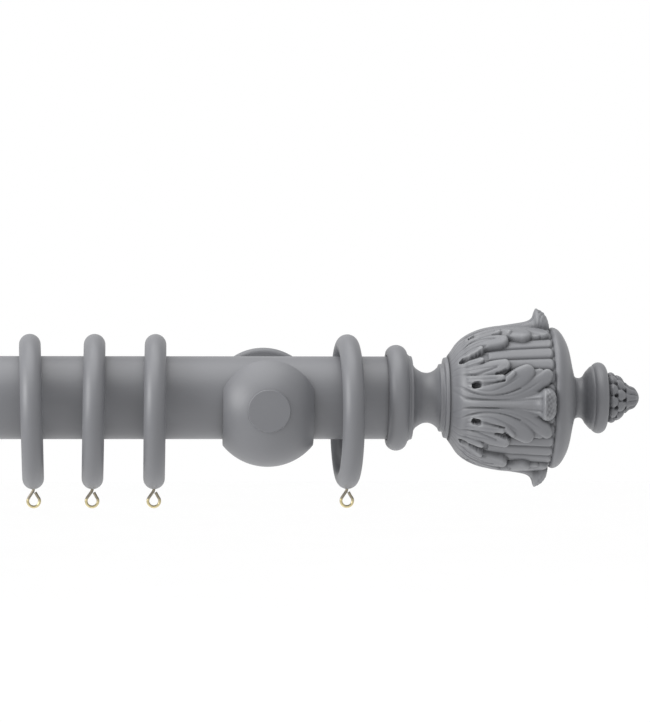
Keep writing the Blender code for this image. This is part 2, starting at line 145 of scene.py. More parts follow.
def flowing(stations: Sequence[Sequence[float]], samples: int) -> np.ndarray:
    """A smooth curve through stations of any number of coordinates.

    Args:
        stations: the points that it goes through.
        samples: how many points to give back.

    Returns:
        The samples, one row each.
    """
    points = np.array(stations, float)
    ends = np.vstack([2 * points[0] - points[1], points, 2 * points[-1] - points[-2]])
    place = np.linspace(0, len(points) - 1, samples)
    index = np.minimum(place.astype(int), len(points) - 2)
    t = (place - index)[:, None]
    a, b, c, d = (ends[index + i] for i in range(4))
    return b + 0.5 * t * (c - a + t * (2 * a - 5 * b + 4 * c - d + t * (3 * (b - c) + d - a)))


def through(x: np.ndarray, stations: Sequence[tuple[float, float]]) -> np.ndarray:
    """The height at x of a smooth curve through (x, height) stations."""
    curve = flowing(stations, 40 * len(stations))
    return np.interp(x, curve[:, 0], curve[:, 1])


def smooth_step(x: np.ndarray) -> np.ndarray:
    """0 below 0, 1 above 1 and an even ramp between."""
    t = np.clip(x, 0, 1)
    return t * t * (3 - 2 * t)


def angles_of(columns: int) -> np.ndarray:
    """The angle of each column of a turned surface, in radians."""
    return np.arange(columns) * 2 * math.pi / columns


def spun(profile: Profile, columns: int) -> tuple[np.ndarray, np.ndarray]:
    """A profile's heights, and its radii repeated for each column round it."""
    heights = np.array([z for _, z in profile])
    return heights, np.repeat(np.array([r for r, _ in profile])[:, None], columns, axis=1)


def turned_mesh(
    name: str,
    heights: np.ndarray,
    radii: np.ndarray,
    lie: Lie,
    crease: float = 38.0,
    joined: bool = False,
) -> bpy.types.Mesh:
    """A closed surface of revolution whose radius may change round it.

    Args:
        name: the mesh's name.
        heights: each row's height in millimetres, down the outer side.
        radii: a row of radii in millimetres for each height, one for each column; a first or last row of zeros
            becomes one point.
        lie: where the piece's axis points.
        crease: edges sharper than this many degrees stay crisp.
        joined: whether the last row joins the first, as on a piece with a bore right through.

    Returns:
        The mesh in metres.
    """
    rows, columns = radii.shape
    turn = angles_of(columns)
    points = np.stack(
        [radii * np.cos(turn), radii * np.sin(turn), np.broadcast_to(heights[:, None], radii.shape)], axis=2
    )
    index = np.arange(rows * columns).reshape(rows, columns)
    if joined:
        index = np.vstack([index, index[:1]])
    tips = [not joined and radii[row].max() < 1e-9 for row in (0, -1)]
    for row, is_tip in zip((0, -1), tips, strict=True):
        if is_tip:
            index[row] = index[row, 0]
    here, below = index[:-1], index[1:]
    quads = np.stack([here, below, np.roll(below, -1, axis=1), np.roll(here, -1, axis=1)], axis=2).reshape(-1, 4)
    faces = [list(dict.fromkeys(face)) for face in quads.tolist()]
    used = np.unique(index)
    place = np.zeros(rows * columns, int)
    place[used] = np.arange(len(used))
    faces = [[int(place[i]) for i in face] for face in faces]
    mesh = bpy.data.meshes.new(name)
    mesh.from_pydata((points.reshape(-1, 3)[used] * MM).tolist(), [], faces)
    if not joined and not all(tips):
        log.warning("%s is open at its ends", name)
    mesh.transform(lie.matrix())
    mesh.shade_smooth()
    mesh.set_sharp_from_angle(angle=math.radians(crease))
    return mesh


def lathe(
    name: str,
    profile: Profile,
    lie: Lie,
    columns: int = 96,
    joined: bool = False,
    ease: float = 0.35,
) -> bpy.types.Mesh:
    """A plain turned piece, with its corners eased.

    Args:
        name: the mesh's name.
        profile: its outline, running down its outer side.
        lie: where its axis points.
        columns: how many facets go round it.
        joined: whether the outline closes on itself round a bore.
        ease: how far each rounded corner reaches, in millimetres.

    Returns:
        The mesh in metres.
    """
    outline = [*profile, profile[0], profile[1]] if joined else profile
    smooth = eased(outline, ease) if ease else outline
    if joined:
        smooth = smooth[1:-1]
    return turned_mesh(name, *spun(smooth, columns), lie, joined=joined)


def threaded(
    radii: np.ndarray,
    heights: np.ndarray,
    span: tuple[float, float],
    pitch: float,
    depth: float,
) -> np.ndarray:
    """Radii with a screw thread cut between two heights.

    Args:
        radii: rows of radii.
        heights: each row's height.
        span: where the thread starts and stops.
        pitch: from one turn to the next.
        depth: from crest to root.

    Returns:
        The new radii.
    """
    turn = angles_of(radii.shape[1]) / (2 * math.pi)
    phase = (heights[:, None] / pitch - turn[None, :]) % 1.0
    tooth = np.clip(np.abs(phase - 0.5) * 2.6 - 0.15, 0, 1)
    inside = smooth_step((heights - span[0]) / pitch) * smooth_step((span[1] - heights) / pitch)
    return radii - depth * tooth * inside[:, None]


def dense(profile: Profile, step: float) -> Profile:
    """A profile with points added so that none lie further apart than step."""
    made = [profile[0]]
    for (r0, z0), (r1, z1) in zip(profile, profile[1:], strict=False):
        count = max(1, math.ceil(math.hypot(r1 - r0, z1 - z0) / step))
        made += [(r0 + (r1 - r0) * i / count, z0 + (z1 - z0) * i / count) for i in range(1, count + 1)]
    return made


def cut(mesh: bpy.types.Mesh, cutters: Sequence[bpy.types.Mesh], crease: float = 38.0) -> bpy.types.Mesh:
    """A mesh with each cutter taken out of it.

    Args:
        mesh: the solid to cut.
        cutters: closed meshes, which are used up.
        crease: edges sharper than this many degrees stay crisp.

    Returns:
        The new mesh.
    """
    blank = bpy.data.objects.new("blank", mesh)
    bpy.context.scene.collection.objects.link(blank)
    tools = []
    for cutter in cutters:
        tool = bpy.data.objects.new("cutter", cutter)
        bpy.context.scene.collection.objects.link(tool)
        step = blank.modifiers.new("cut", "BOOLEAN")
        step.operation = "DIFFERENCE"
        step.solver = "EXACT"
        step.object = tool
        tools.append(tool)
    bpy.context.view_layer.update()
    made = bpy.data.meshes.new_from_object(blank.evaluated_get(bpy.context.evaluated_depsgraph_get()))
    made.name = mesh.name
    for obj in [blank, *tools]:
        bpy.data.objects.remove(obj, do_unlink=True)
    shape = bmesh.new()
    shape.from_mesh(made)
    bmesh.ops.remove_doubles(shape, verts=shape.verts, dist=2e-7)
    bmesh.ops.dissolve_degenerate(shape, edges=shape.edges, dist=2e-7)
    shape.to_mesh(made)
    shape.free()
    made.shade_smooth()
    made.set_sharp_from_angle(angle=math.radians(crease))
    return made


def mesh_from(shape: bmesh.types.BMesh, name: str) -> bpy.types.Mesh:
    """A mesh made from a working shape, which is used up."""
    mesh = bpy.data.meshes.new(name)
    shape.to_mesh(mesh)
    shape.free()
    return mesh


def rod_mesh(radius: float, low: float, high: float, lie: Lie, columns: int = 32) -> bpy.types.Mesh:
    """A plain round bar to cut with, from low to high along its own axis, in millimetres."""
    return lathe("bar", [(0, high), (radius, high), (radius, low), (0, low)], lie, columns, ease=0)


def block_mesh(
    sizes: tuple[float, float, float],
    middle_at: tuple[float, float, float],
    turn: float = 0.0,
) -> bpy.types.Mesh:
    """A plain block to cut with.

    Args:
        sizes: its whole sizes in millimetres.
        middle_at: its middle in millimetres.
        turn: how far it is turned about Y, in degrees.

    Returns:
        The mesh in metres.
    """
    shape = bmesh.new()
    bmesh.ops.create_cube(shape, size=MM)
    bmesh.ops.scale(shape, vec=sizes, verts=shape.verts)
    mesh = mesh_from(shape, "block")
    at = Vector(middle_at) * MM
    mesh.transform(Matrix.Translation(at) @ Matrix.Rotation(math.radians(turn), 4, "Y"))
    return mesh


def swept(name: str, path: np.ndarray, radii: np.ndarray, sides: int) -> bpy.types.Mesh:
    """A round wire along a path that lies in a plane of constant Y.

    Args:
        name: the mesh's name.
        path: its points in millimetres.
        radii: the wire's radius at each point.
        sides: how many facets go round it.

    Returns:
        The mesh in metres, closed at both ends.
    """
    way = np.gradient(path, axis=0)
    way /= np.linalg.norm(way, axis=1)[:, None]
    across = np.array([0.0, 1.0, 0.0])
    up = np.cross(way, across)
    turn = angles_of(sides)
    rings = path[:, None, :] + radii[:, None, None] * (
        np.cos(turn)[None, :, None] * across + np.sin(turn)[None, :, None] * up[:, None, :]
    )
    rows = len(path)
    index = np.arange(rows * sides).reshape(rows, sides)
    here, on = index[:-1], index[1:]
    quads = np.stack([here, np.roll(here, -1, axis=1), np.roll(on, -1, axis=1), on], axis=2).reshape(-1, 4)
    faces = quads.tolist() + [index[0].tolist()[::-1], index[-1].tolist()]
    mesh = bpy.data.meshes.new(name)
    mesh.from_pydata((rings.reshape(-1, 3) * MM).tolist(), [], faces)
    shape = bmesh.new()
    shape.from_mesh(mesh)
    bmesh.ops.recalc_face_normals(shape, faces=shape.faces)
    shape.to_mesh(mesh)
    shape.free()
    mesh.shade_smooth()
    mesh.set_sharp_from_angle(angle=math.radians(50))
    return mesh


# ---------------------------------------------------------------- materials
class Flow:
    """A value on its way through a material, which takes part in Python arithmetic."""

    def __init__(self, sheet: "Sheet", socket: bpy.types.NodeSocket) -> None:
        """Wraps an output socket of a sheet's node."""
        self.sheet = sheet
        self.socket = socket

    def __add__(self, other: "Flow | float") -> "Flow":
        """The sum."""
        return self.sheet.maths("ADD", self, other)

    def __radd__(self, other: float) -> "Flow":
        """The sum, with the number first."""
        return self.sheet.maths("ADD", other, self)

    def __sub__(self, other: "Flow | float") -> "Flow":
        """The difference."""
        return self.sheet.maths("SUBTRACT", self, other)

    def __rsub__(self, other: float) -> "Flow":
        """A number less this value."""
        return self.sheet.maths("SUBTRACT", other, self)

    def __mul__(self, other: "Flow | float") -> "Flow":
        """The product."""
        return self.sheet.maths("MULTIPLY", self, other)

    def held(self) -> "Flow":
        """The value kept between 0 and 1."""
        return self.sheet.node("ShaderNodeClamp", {}, {"Value": self}, "Result")


class Sheet:
    """A material's nodes, with one method that adds any of them."""

    def __init__(self, name: str) -> None:
        """Starts a material with an empty tree and its Principled shader."""
        self.material = bpy.data.materials.new(name)
        self.material.use_nodes = True
        self.tree = self.material.node_tree
        self.shader = self.tree.nodes["Principled BSDF"]

    def node(
        self, kind: str, settings: dict[str, object], sockets: dict[str | int, object], output: str | int = 0
    ) -> Flow:
        """Adds a node.

        Args:
            kind: the node's Blender type.
            settings: its own properties, set before its sockets.
            sockets: a value or a Flow for each input, by name or number.
            output: which output to give back.

        Returns:
            That output, ready for arithmetic.
        """
        made = self.tree.nodes.new(kind)
        for key, value in settings.items():
            setattr(made, key, value)
        for key, value in sockets.items():
            self.feed(made.inputs[key], value)
        return Flow(self, made.outputs[output])

    def feed(self, socket: bpy.types.NodeSocket, value: object) -> None:
        """Links a Flow to an input, or sets the input to a plain value."""
        if isinstance(value, Flow):
            self.tree.links.new(value.socket, socket)
        else:
            socket.default_value = value

    def maths(self, operation: str, first: "Flow | float", second: "Flow | float") -> Flow:
        """One step of arithmetic on two values."""
        return self.node("ShaderNodeMath", {"operation": operation}, {0: first, 1: second})

    def blend(self, share: "Flow | float", first: "Flow | Colour", second: "Flow | Colour") -> Flow:
        """A colour between two others.

        Args:
            share: 0 gives the first and 1 the second.
            first: a colour or a Flow of one.
            second: a colour or a Flow of one.

        Returns:
            The mixed colour.
        """
        ends = [c if isinstance(c, Flow) else (*c, 1.0) for c in (first, second)]
        return self.node(
            "ShaderNodeMix", {"data_type": "RGBA"}, {"Factor": share, 6: ends[0], 7: ends[1]}, 2
        )

    def place(self, stretch: tuple[float, float, float], offset: float = 0.0) -> Flow:
        """Coordinates on the piece itself, in metres, multiplied by stretch and moved by offset."""
        own = self.node("ShaderNodeTexCoord", {}, {}, "Object")
        return self.node(
            "ShaderNodeMapping", {}, {"Vector": own, "Scale": stretch, "Location": (offset, offset, offset)}
        )

    def noise(self, at: Flow, scale: float, detail: float = 3.0, roughness: float = 0.5) -> Flow:
        """Cloudy noise from 0 to 1 about 0.5."""
        return self.node(
            "ShaderNodeTexNoise", {}, {"Vector": at, "Scale": scale, "Detail": detail, "Roughness": roughness}, 0
        )

    def bump(self, height: Flow, depth: float, strength: float = 1.0) -> Flow:
        """A normal from a height of 0 to 1 that stands for depth in metres."""
        return self.node("ShaderNodeBump", {}, {"Strength": strength, "Distance": depth, "Height": height}, "Normal")

    def finish(self, **inputs: object) -> bpy.types.Material:
        """Feeds the shader's inputs, with spaces in their names written as underscores, and gives the material."""
        for key, value in inputs.items():
            self.feed(self.shader.inputs[key.replace("_", " ")], value)
        return self.material


class Grain(Enum):
    """Which way brush strokes and wood fibres run, as stretches of the piece's own axes."""

    ALONG_X = (0.06, 1.0, 1.0)
    ROUND_X = (1.0, 0.16, 0.16)
    ROUND_Y = (0.16, 1.0, 0.16)
    EVEN = (0.7, 0.7, 0.7)


@dataclass(frozen=True)
class Paint:
    """Eggshell paint, brushed over wood that was turned or carved, with painted shade in its hollows and a painted
    highlight on its crests.
    """

    colour: Colour = (0.104, 0.106, 0.114)
    # painted shade colour for the hollows, then painted highlight colour for the crests
    painted_shade_colour: Colour = (0.048, 0.049, 0.053)
    painted_highlight_colour: Colour = (0.166, 0.169, 0.177)
    grain: Grain = Grain.EVEN
    roughness: float = 0.47
    stroke_scale: float = 620.0
    cloud_scale: float = 34.0
    stipple_scale: float = 1500.0
    relief: float = 0.00006
    seed: float = 0.0

    def material(self, name: str) -> bpy.types.Material:
        """The paint as a material.

        Args:
            name: the material's name.

        Returns:
            The material, which paints shade where a mesh's hollow attribute is above 0 and paints a highlight where
            it is below 0.
        """
        sheet = Sheet(name)
        strokes = sheet.noise(sheet.place(self.grain.value, self.seed), self.stroke_scale, 4.0, 0.6)
        cloud = sheet.noise(sheet.place((1, 1, 1), self.seed + 3), self.cloud_scale, 3.0)
        stipple = sheet.noise(sheet.place((1, 1, 1), self.seed + 7), self.stipple_scale, 2.0)
        # painted shade and painted highlight: the hollow attribute darkens hollows and lightens crests
        hollow = sheet.node("ShaderNodeAttribute", {"attribute_name": "hollow"}, {}, "Fac")
        sunk = hollow.held()
        proud = (hollow * -1.0).held()
        shade = ((cloud - 0.5) * 0.55 + (strokes - 0.5) * 0.3 + 0.5).held()
        light = tuple(min(1.0, c * 1.10) for c in self.colour)
        dark = tuple(c * 0.90 for c in self.colour)
        body = sheet.blend(shade, dark, light)
        # painted highlight: crests, where hollow is below 0, are mixed towards a lighter colour
        crest_highlighted = sheet.blend(proud * 0.8, body, self.painted_highlight_colour)
        # painted shade: hollows, where hollow is above 0, are mixed towards a darker colour
        colour = sheet.blend(sunk, crest_highlighted, self.painted_shade_colour)
        rough = ((strokes - 0.5) * 0.16 + (cloud - 0.5) * 0.10 + sunk * 0.25 + self.roughness).held()
        height = strokes * 0.7 + stipple * 0.3
        return sheet.finish(Base_Color=colour, Roughness=rough, Normal=sheet.bump(height, self.relief, 0.55))


@dataclass(frozen=True)
class Brass:
    """Drawn brass wire or turned brass, dulled above a height."""

    colour: Colour = (0.52, 0.45, 0.26)
    tarnish: Colour = (0.20, 0.18, 0.15)
    dull_from: float = 10.0
    roughness: float = 0.27
    patch_scale: float = 420.0
    drawing_scale: float = 2600.0
    relief: float = 0.00003

    def material(self, name: str) -> bpy.types.Material:
        """The brass as a material, tarnished in patches and dull above dull_from in the piece's own metres."""
        sheet = Sheet(name)
        at = sheet.place((1, 1, 1))
        patches = sheet.noise(at, self.patch_scale, 4.0, 0.65)
        drawn = sheet.noise(sheet.place((1.0, 1.0, 0.2)), self.drawing_scale, 2.0)
        height = sheet.node("ShaderNodeSeparateXYZ", {}, {0: at}, "Z")
        dull = ((height - self.dull_from) * 900.0).held()
        share = ((patches - 0.42) * 1.6).held() * (1.0 - dull * 0.3) + dull * 0.8
        colour = sheet.blend(share.held(), self.colour, self.tarnish)
        rough = (self.roughness + (patches - 0.5) * 0.3 + dull * 0.22).held()
        return sheet.finish(
            Base_Color=colour, Metallic=1.0, Roughness=rough, Normal=sheet.bump(drawn, self.relief, 0.5)
        )


@dataclass(frozen=True)
class Steel:
    """Zinc-plated steel with fine turning marks."""

    colour: Colour = (0.52, 0.53, 0.54)
    roughness: float = 0.34
    grain: Grain = Grain.ROUND_Y
    mark_scale: float = 2400.0
    patch_scale: float = 160.0
    relief: float = 0.00004

    def material(self, name: str) -> bpy.types.Material:
        """The steel as a material."""
        sheet = Sheet(name)
        marks = sheet.noise(sheet.place(self.grain.value), self.mark_scale, 2.0)
        patches = sheet.noise(sheet.place((1, 1, 1), 2.0), self.patch_scale, 4.0)
        dark = tuple(c * 0.72 for c in self.colour)
        colour = sheet.blend(((patches - 0.35) * 1.7).held(), self.colour, dark)
        rough = (self.roughness + (marks - 0.5) * 0.22 + (patches - 0.5) * 0.15).held()
        return sheet.finish(
            Base_Color=colour, Metallic=1.0, Roughness=rough, Normal=sheet.bump(marks, self.relief, 0.5)
        )


@dataclass(frozen=True)
class StudioFloor:
    """Matte pale floor."""

    colour: Colour = (0.985, 0.985, 0.985)

    def material(self, name: str) -> bpy.types.Material:
        """The floor as a material."""
        sheet = Sheet(name)
        cloud = sheet.noise(sheet.place((1, 1, 1)), 2.0, 3.0)
        light = tuple(min(1.0, c * 1.03) for c in self.colour)
        return sheet.finish(Base_Color=sheet.blend(cloud, self.colour, light), Roughness=0.9)


# ---------------------------------------------------------------- placing
@dataclass(frozen=True)
class Fit:
    """What a new piece rides on and stands for."""

    body: str
    node: str
    slot: str


def put(
    name: str,
    mesh: bpy.types.Mesh,
    material: bpy.types.Material,
    fit: Fit,
    place: Matrix,
) -> bpy.types.Object:
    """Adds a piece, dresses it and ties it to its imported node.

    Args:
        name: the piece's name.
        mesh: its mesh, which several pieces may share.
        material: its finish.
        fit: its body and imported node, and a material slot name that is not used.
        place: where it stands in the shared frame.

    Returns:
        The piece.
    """
    piece = bpy.data.objects.new(name, mesh)
    bpy.context.scene.collection.objects.link(piece)
    if not mesh.materials:
        mesh.materials.append(None)
    piece.material_slots[0].link = "OBJECT"
    piece.material_slots[0].material = material
    piece.matrix_world = place
    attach(piece, fit.body)
    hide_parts(fit.node)
    log.info("%s: %d faces on %s, for %s", name, len(mesh.polygons), fit.body, fit.node)
    return piece


def middle(node: str) -> Vector:
    """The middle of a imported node's box."""
    low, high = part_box(node)
    return (low + high) / 2


# ---------------------------------------------------------------- pole
@dataclass
class Pole:
    """The round wooden rod, with a threaded brass sleeve in each end; millimetres."""

    radius: float = 25.4
    sleeve_radius: float = 6.0
    sleeve_length: float = 18.0
    thread_radius: float = 4.0
    gap: float = 0.3
    columns: int = 112

    def rod(self, half: float) -> bpy.types.Mesh:
        """The rod's mesh, half its length each way from its middle."""
        bore = self.sleeve_radius + self.gap
        floor = half - self.sleeve_length - self.gap
        end = [(0, floor), (bore, floor), (bore, half), (self.radius - 0.7, half), (self.radius, half - 0.7)]
        outside = [(self.radius, half * share) for share in (0.9, 0.6, 0.3, 0.0, -0.3, -0.6, -0.9)]
        profile = end + outside + [(r, -z) for r, z in reversed(end)]
        return lathe("pole_rod", profile, Lie.ALONG_POLE, self.columns, ease=0.25)

    def sleeve(self) -> bpy.types.Mesh:
        """The sleeve's mesh, knurled outside, with its mouth at the origin."""
        bore = self.thread_radius + self.gap
        profile = [(bore, 0), (self.sleeve_radius, 0), (self.sleeve_radius, -self.sleeve_length)]
        profile = dense(eased([*profile, (bore, -self.sleeve_length)], 0.4), 0.35)
        heights, radii = spun(profile, 48)
        coarse = threaded(radii, heights, (-self.sleeve_length + 0.6, -0.6), 2.5, 0.7)
        outside = radii > self.sleeve_radius - 0.05
        return turned_mesh(
            "insert_sleeve", heights, np.where(outside, coarse, radii), Lie.ALONG_POLE, joined=True
        )

    def build(self) -> None:
        """Adds the rod and its sleeves."""
        low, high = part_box("pole")
        centre = middle("pole")
        paint = Paint(grain=Grain.ALONG_X).material("pole_paint_coat")
        rod = self.rod((high.x - low.x) / 2 / MM)
        put("pole_rod", rod, paint, Fit("pole", "pole", "pole_paint"), Matrix.Translation(centre))
        brass = Brass().material("insert_brass_turned")
        sleeve = self.sleeve()
        for side in Side:
            node = f"threaded_insert_{side.word}"
            mouth = Vector((high.x if side.way > 0 else low.x, centre.y, centre.z))
            turn = Matrix.Identity(4) if side.way > 0 else Matrix.Rotation(math.pi, 4, "Z")
            put(
                f"insert_sleeve_{side.word}",
                sleeve,
                brass,
                Fit("pole", node, "insert_brass"),
                Matrix.Translation(mouth) @ turn,
            )


# ---------------------------------------------------------------- rings
@dataclass(frozen=True)
class RingHang:
    """How one ring hangs: its turn about the vertical and its lean along the pole, in degrees."""

    turn: float
    lean: float


@dataclass
class RingSet:
    """Eight turned wooden rings, each with a brass screw eye below; millimetres."""

    tube_radius: float = 6.6
    centre_radius: float = 40.9
    wire_radius: float = 0.9
    loop_radius: float = 3.6
    eye_drop: float = 54.8
    shank_inside: float = 8.0
    gap: float = 0.3
    right_hangs: tuple[RingHang, ...] = (
        RingHang(2.8, 1.4),
        RingHang(1.6, -0.9),
        RingHang(0.4, -0.6),
        RingHang(2.6, 0.0),
    )

    def ring(self) -> bpy.types.Mesh:
        """The ring's mesh about X, with a bore for the eye in its underside."""
        tube = arc((self.centre_radius, 0), (self.tube_radius, self.tube_radius), 90, -270, 36)[:-1]
        blank = turned_mesh("curtain_ring", *spun(tube, 144), Lie.ALONG_POLE, joined=True)
        outside = self.centre_radius + self.tube_radius
        bore = rod_mesh(self.wire_radius + self.gap, -outside - 4, -outside + 9, Lie.UPRIGHT)
        return cut(blank, [bore], crease=50)

    def eye(self) -> bpy.types.Mesh:
        """The eye's mesh: a screw-threaded shank that bends into a loop and closes on itself."""
        top = self.eye_drop - self.centre_radius - self.tube_radius + self.shank_inside
        loop = self.loop_radius
        bend = [(0.0, top), (0.0, loop + 5.4), (0.0, loop + 3.6), (-0.3, loop + 2.4), (-1.5, loop + 0.55)]
        angles = np.radians(np.linspace(142, 402, 11))
        ring = [(loop * math.cos(a), loop * math.sin(a)) for a in angles]
        ends = [(1.75, loop + 0.4), (1.05, loop + 1.7)]
        flat = flowing(bend + ring + ends, 150)
        path = np.stack([flat[:, 0], np.zeros(len(flat)), flat[:, 1]], axis=1)
        radii = np.full(len(flat), self.wire_radius)
        thread = (flat[:, 1] > loop + 5.0) & (np.arange(len(flat)) < 60)
        radii[thread] -= 0.14 * (np.sin(flat[thread, 1] * 2 * math.pi / 0.9) + 1)
        return swept("ring_eye", path, radii, 20)

    def build(self) -> None:
        """Adds the rings, numbered from the pole's left end, with their eyes."""
        left = [RingHang(-h.turn, -h.lean) for h in reversed(self.right_hangs)]
        ring, eye = self.ring(), self.eye()
        brass = Brass(dull_from=0.6 * MM).material("eye_brass_wire")
        for number, hang in enumerate([*left, *self.right_hangs], 1):
            paint = Paint(grain=Grain.ROUND_X, seed=5.0 + number).material(f"ring_paint_coat_{number}")
            tilt = Matrix.Rotation(math.radians(hang.turn), 4, "Z") @ Matrix.Rotation(
                math.radians(-hang.lean), 4, "Y"
            )
            centre = Matrix.Translation(middle(f"ring_{number}")) @ tilt
            put(f"curtain_ring_{number}", ring, paint, Fit(f"ring_{number}", f"ring_{number}", "ring_paint"), centre)
            below = centre @ Matrix.Translation((0, 0, -self.eye_drop * MM))
            node = f"screw_eye_{number}"
            put(f"ring_eye_{number}", eye, brass, Fit(node, node, "eye_brass"), below)


# ---------------------------------------------------------------- brackets
@dataclass
class Bracket:
    """One wall bracket: ball cup, spindle arm, rose, plate, stud and screws; millimetres from the wall."""

    side: Side
    pole_to_wall: float = 90.0
    drop: float = 6.5
    forward: float = 7.0
    ball_radius: float = 35.5
    ball_half_width: float = 27.5
    button_radius: float = 12.75
    button_raise: float = 1.5
    pole_radius: float = Pole.radius
    pole_room: float = 0.4
    neck_radius: float = 13.0
    rose_front: float = 16.5
    arm_front: float = 47.0
    stud_front: float = 59.0
    rose_radius: float = 35.3
    rose_seat_radius: float = 17.0
    recess_depth: float = 4.2
    plate_radius: float = 21.7
    plate_thickness: float = 3.0
    screw_spread: float = 14.0
    thread_radius: float = 4.0
    lock_radius: float = 2.0
    lock_head_radius: float = 3.8
    lock_head_depth: float = 2.6
    key_radius: float = 1.7
    key_depth: float = 1.5
    gap: float = 0.3

    @property
    def centre(self) -> Vector:
        """The point on the wall behind the ball's middle, in metres."""
        cup = middle(f"bracket_cup_{self.side.word}")
        return Vector((cup.x, 0.0, middle("pole").z - self.drop * MM))

    @property
    def lock_head_top(self) -> float:
        """Height of the locking screw's head seat from the ball's centre."""
        return -math.sqrt(self.ball_radius**2 - self.forward**2) + 0.8 + self.lock_head_depth

    def cup(self) -> bpy.types.Mesh:
        """The ball with its raised button and its neck, cut for the pole and the screws; origin at its centre."""
        floor = math.sqrt(self.ball_radius**2 - self.button_radius**2)
        top = floor + self.button_raise
        neck_end = self.arm_front + self.gap - self.pole_to_wall - self.forward
        front = math.degrees(math.asin(floor / self.ball_radius))
        back = -math.degrees(math.acos(self.neck_radius / self.ball_radius))
        button = eased([(0, top), (self.button_radius, top), (self.button_radius, floor - 0.2)], 0.55, 5)
        profile = [*button[:-1]]
        profile += arc((0, 0), (self.ball_radius, self.ball_radius), front - 0.3, back, 60)
        profile += [(self.neck_radius, neck_end + 0.5), (self.neck_radius - 0.5, neck_end), (0, neck_end)]
        blank = lathe("ball_cup", profile, Lie.TO_ROOM, 128, ease=0)
        depth = self.stud_front + self.gap - self.arm_front
        bore = rod_mesh(self.thread_radius + self.gap, neck_end - 5, neck_end + depth, Lie.TO_ROOM)
        screw = rod_mesh(self.lock_radius + self.gap, -self.ball_radius - 5, -10, Lie.UPRIGHT)
        sink = rod_mesh(self.lock_head_radius + self.gap, -self.ball_radius - 5, self.lock_head_top, Lie.UPRIGHT)
        for tool in (screw, sink):
            tool.transform(Matrix.Translation((0, self.forward * MM, 0)))
        wide = 2 * self.ball_radius
        out = self.ball_half_width + self.ball_radius
        sides = [block_mesh((wide, wide, wide), (way * out, 0, 0)) for way in (-1, 1)]
        return cut(blank, [*sides, self.channel(), bore, screw, sink])

    def channel(self) -> bpy.types.Mesh:
        """The U-shaped trough for the pole, round below and open above, about the ball's centre."""
        height = self.ball_radius + 20
        half = self.ball_radius + 10
        radius = self.pole_radius + self.pole_room
        outline = [(-radius, height), *arc((0, 0), (radius, radius), -180, 0, 64), (radius, height)]
        shape = bmesh.new()
        rings = []
        for x in (-half, half):
            rings.append([shape.verts.new((x * MM, y * MM, z * MM)) for y, z in outline])
        for i in range(len(outline)):
            j = (i + 1) % len(outline)
            shape.faces.new((rings[0][i], rings[0][j], rings[1][j], rings[1][i]))
        shape.faces.new(rings[0])
        shape.faces.new(rings[1])
        bmesh.ops.recalc_face_normals(shape, faces=shape.faces)
        mesh = mesh_from(shape, "channel")
        mesh.transform(Matrix.Translation((0, self.forward * MM, self.drop * MM)))
        return mesh

    def arm(self) -> bpy.types.Mesh:
        """The waisted spindle between the ball and the rose, bored for the stud."""
        back = self.rose_front + self.gap
        centre = (self.arm_front + back) / 2
        bore = self.thread_radius + self.gap
        profile = [(bore, self.arm_front), (14.0, self.arm_front), (14.0, self.arm_front - 3.2)]
        profile += arc((14.0, centre), (4.0, (self.arm_front - back) / 2 - 3.5), 90, 270, 28)
        profile += [(14.0, back + 3.2), (14.0, back), (bore, back)]
        return lathe("arm_turning", profile, Lie.TO_ROOM, 96, joined=True, ease=0.8)

    def rose(self) -> bpy.types.Mesh:
        """The turned disc against the wall, with a seat for the arm and a recess for the plate."""
        bore = self.thread_radius + self.gap
        recess = self.plate_radius + self.gap
        profile = [(bore, self.rose_front), (self.rose_seat_radius, self.rose_front)]
        profile += arc((self.rose_radius - 6, 16.0), (12.3, 8.0), 180, 270, 20)
        profile += arc((self.rose_radius - 3.0, 5.0), (3.0, 3.0), 90, 0, 12)
        profile += [(self.rose_radius, 0), (recess, 0), (recess, self.recess_depth), (bore, self.recess_depth)]
        return lathe("rose_turning", profile, Lie.TO_ROOM, 128, joined=True, ease=0.4)

    def plate(self) -> bpy.types.Mesh:
        """The steel disc with its stud hole and two countersunk screw holes."""
        disc = lathe(
            "wall_disc",
            [(0, self.plate_thickness), (self.plate_radius, self.plate_thickness), (self.plate_radius, 0), (0, 0)],
            Lie.TO_ROOM,
            96,
            ease=0.4,
        )
        holes = [rod_mesh(self.thread_radius + self.gap, -3, 9, Lie.TO_ROOM)]
        for way in (-1, 1):
            cone = [(0, 3), (4.3, 3), (4.3, -0.2), (2.2, -2.3), (2.2, -9), (0, -9)]
            hole = lathe("countersink", cone, Lie.TO_ROOM, 40, ease=0)
            hole.transform(Matrix.Translation((0, -self.plate_thickness * MM, way * self.screw_spread * MM)))
            holes.append(hole)
        return cut(disc, holes)

    def wall_screw(self) -> bpy.types.Mesh:
        """A countersunk wood screw with a cross slot, threaded down to its point; origin at its head's face."""
        tip = -self.plate_thickness - 30.0
        outline = [(0, 0), (3.9, 0), (4.0, -0.25), (1.95, -2.4), (1.9, -8.0), (1.9, tip + 6.0), (0.25, tip + 0.15)]
        outline = dense([*outline, (0, tip)], 0.22)
        heights, radii = spun(outline, 40)
        radii = threaded(radii, heights, (tip - 0.5, -7.0), 1.7, 0.62)
        radii = np.where(radii < 0.04, 0.0, radii)
        radii[-1] = 0.0
        blank = turned_mesh("wall_fixing", heights, np.maximum(radii, 0.0), Lie.TO_ROOM, crease=45)
        slots = [block_mesh((4.2, 1.7, 0.9), (0, 0, 0), turn) for turn in (0.0, 90.0)]
        return cut(blank, slots, crease=45)

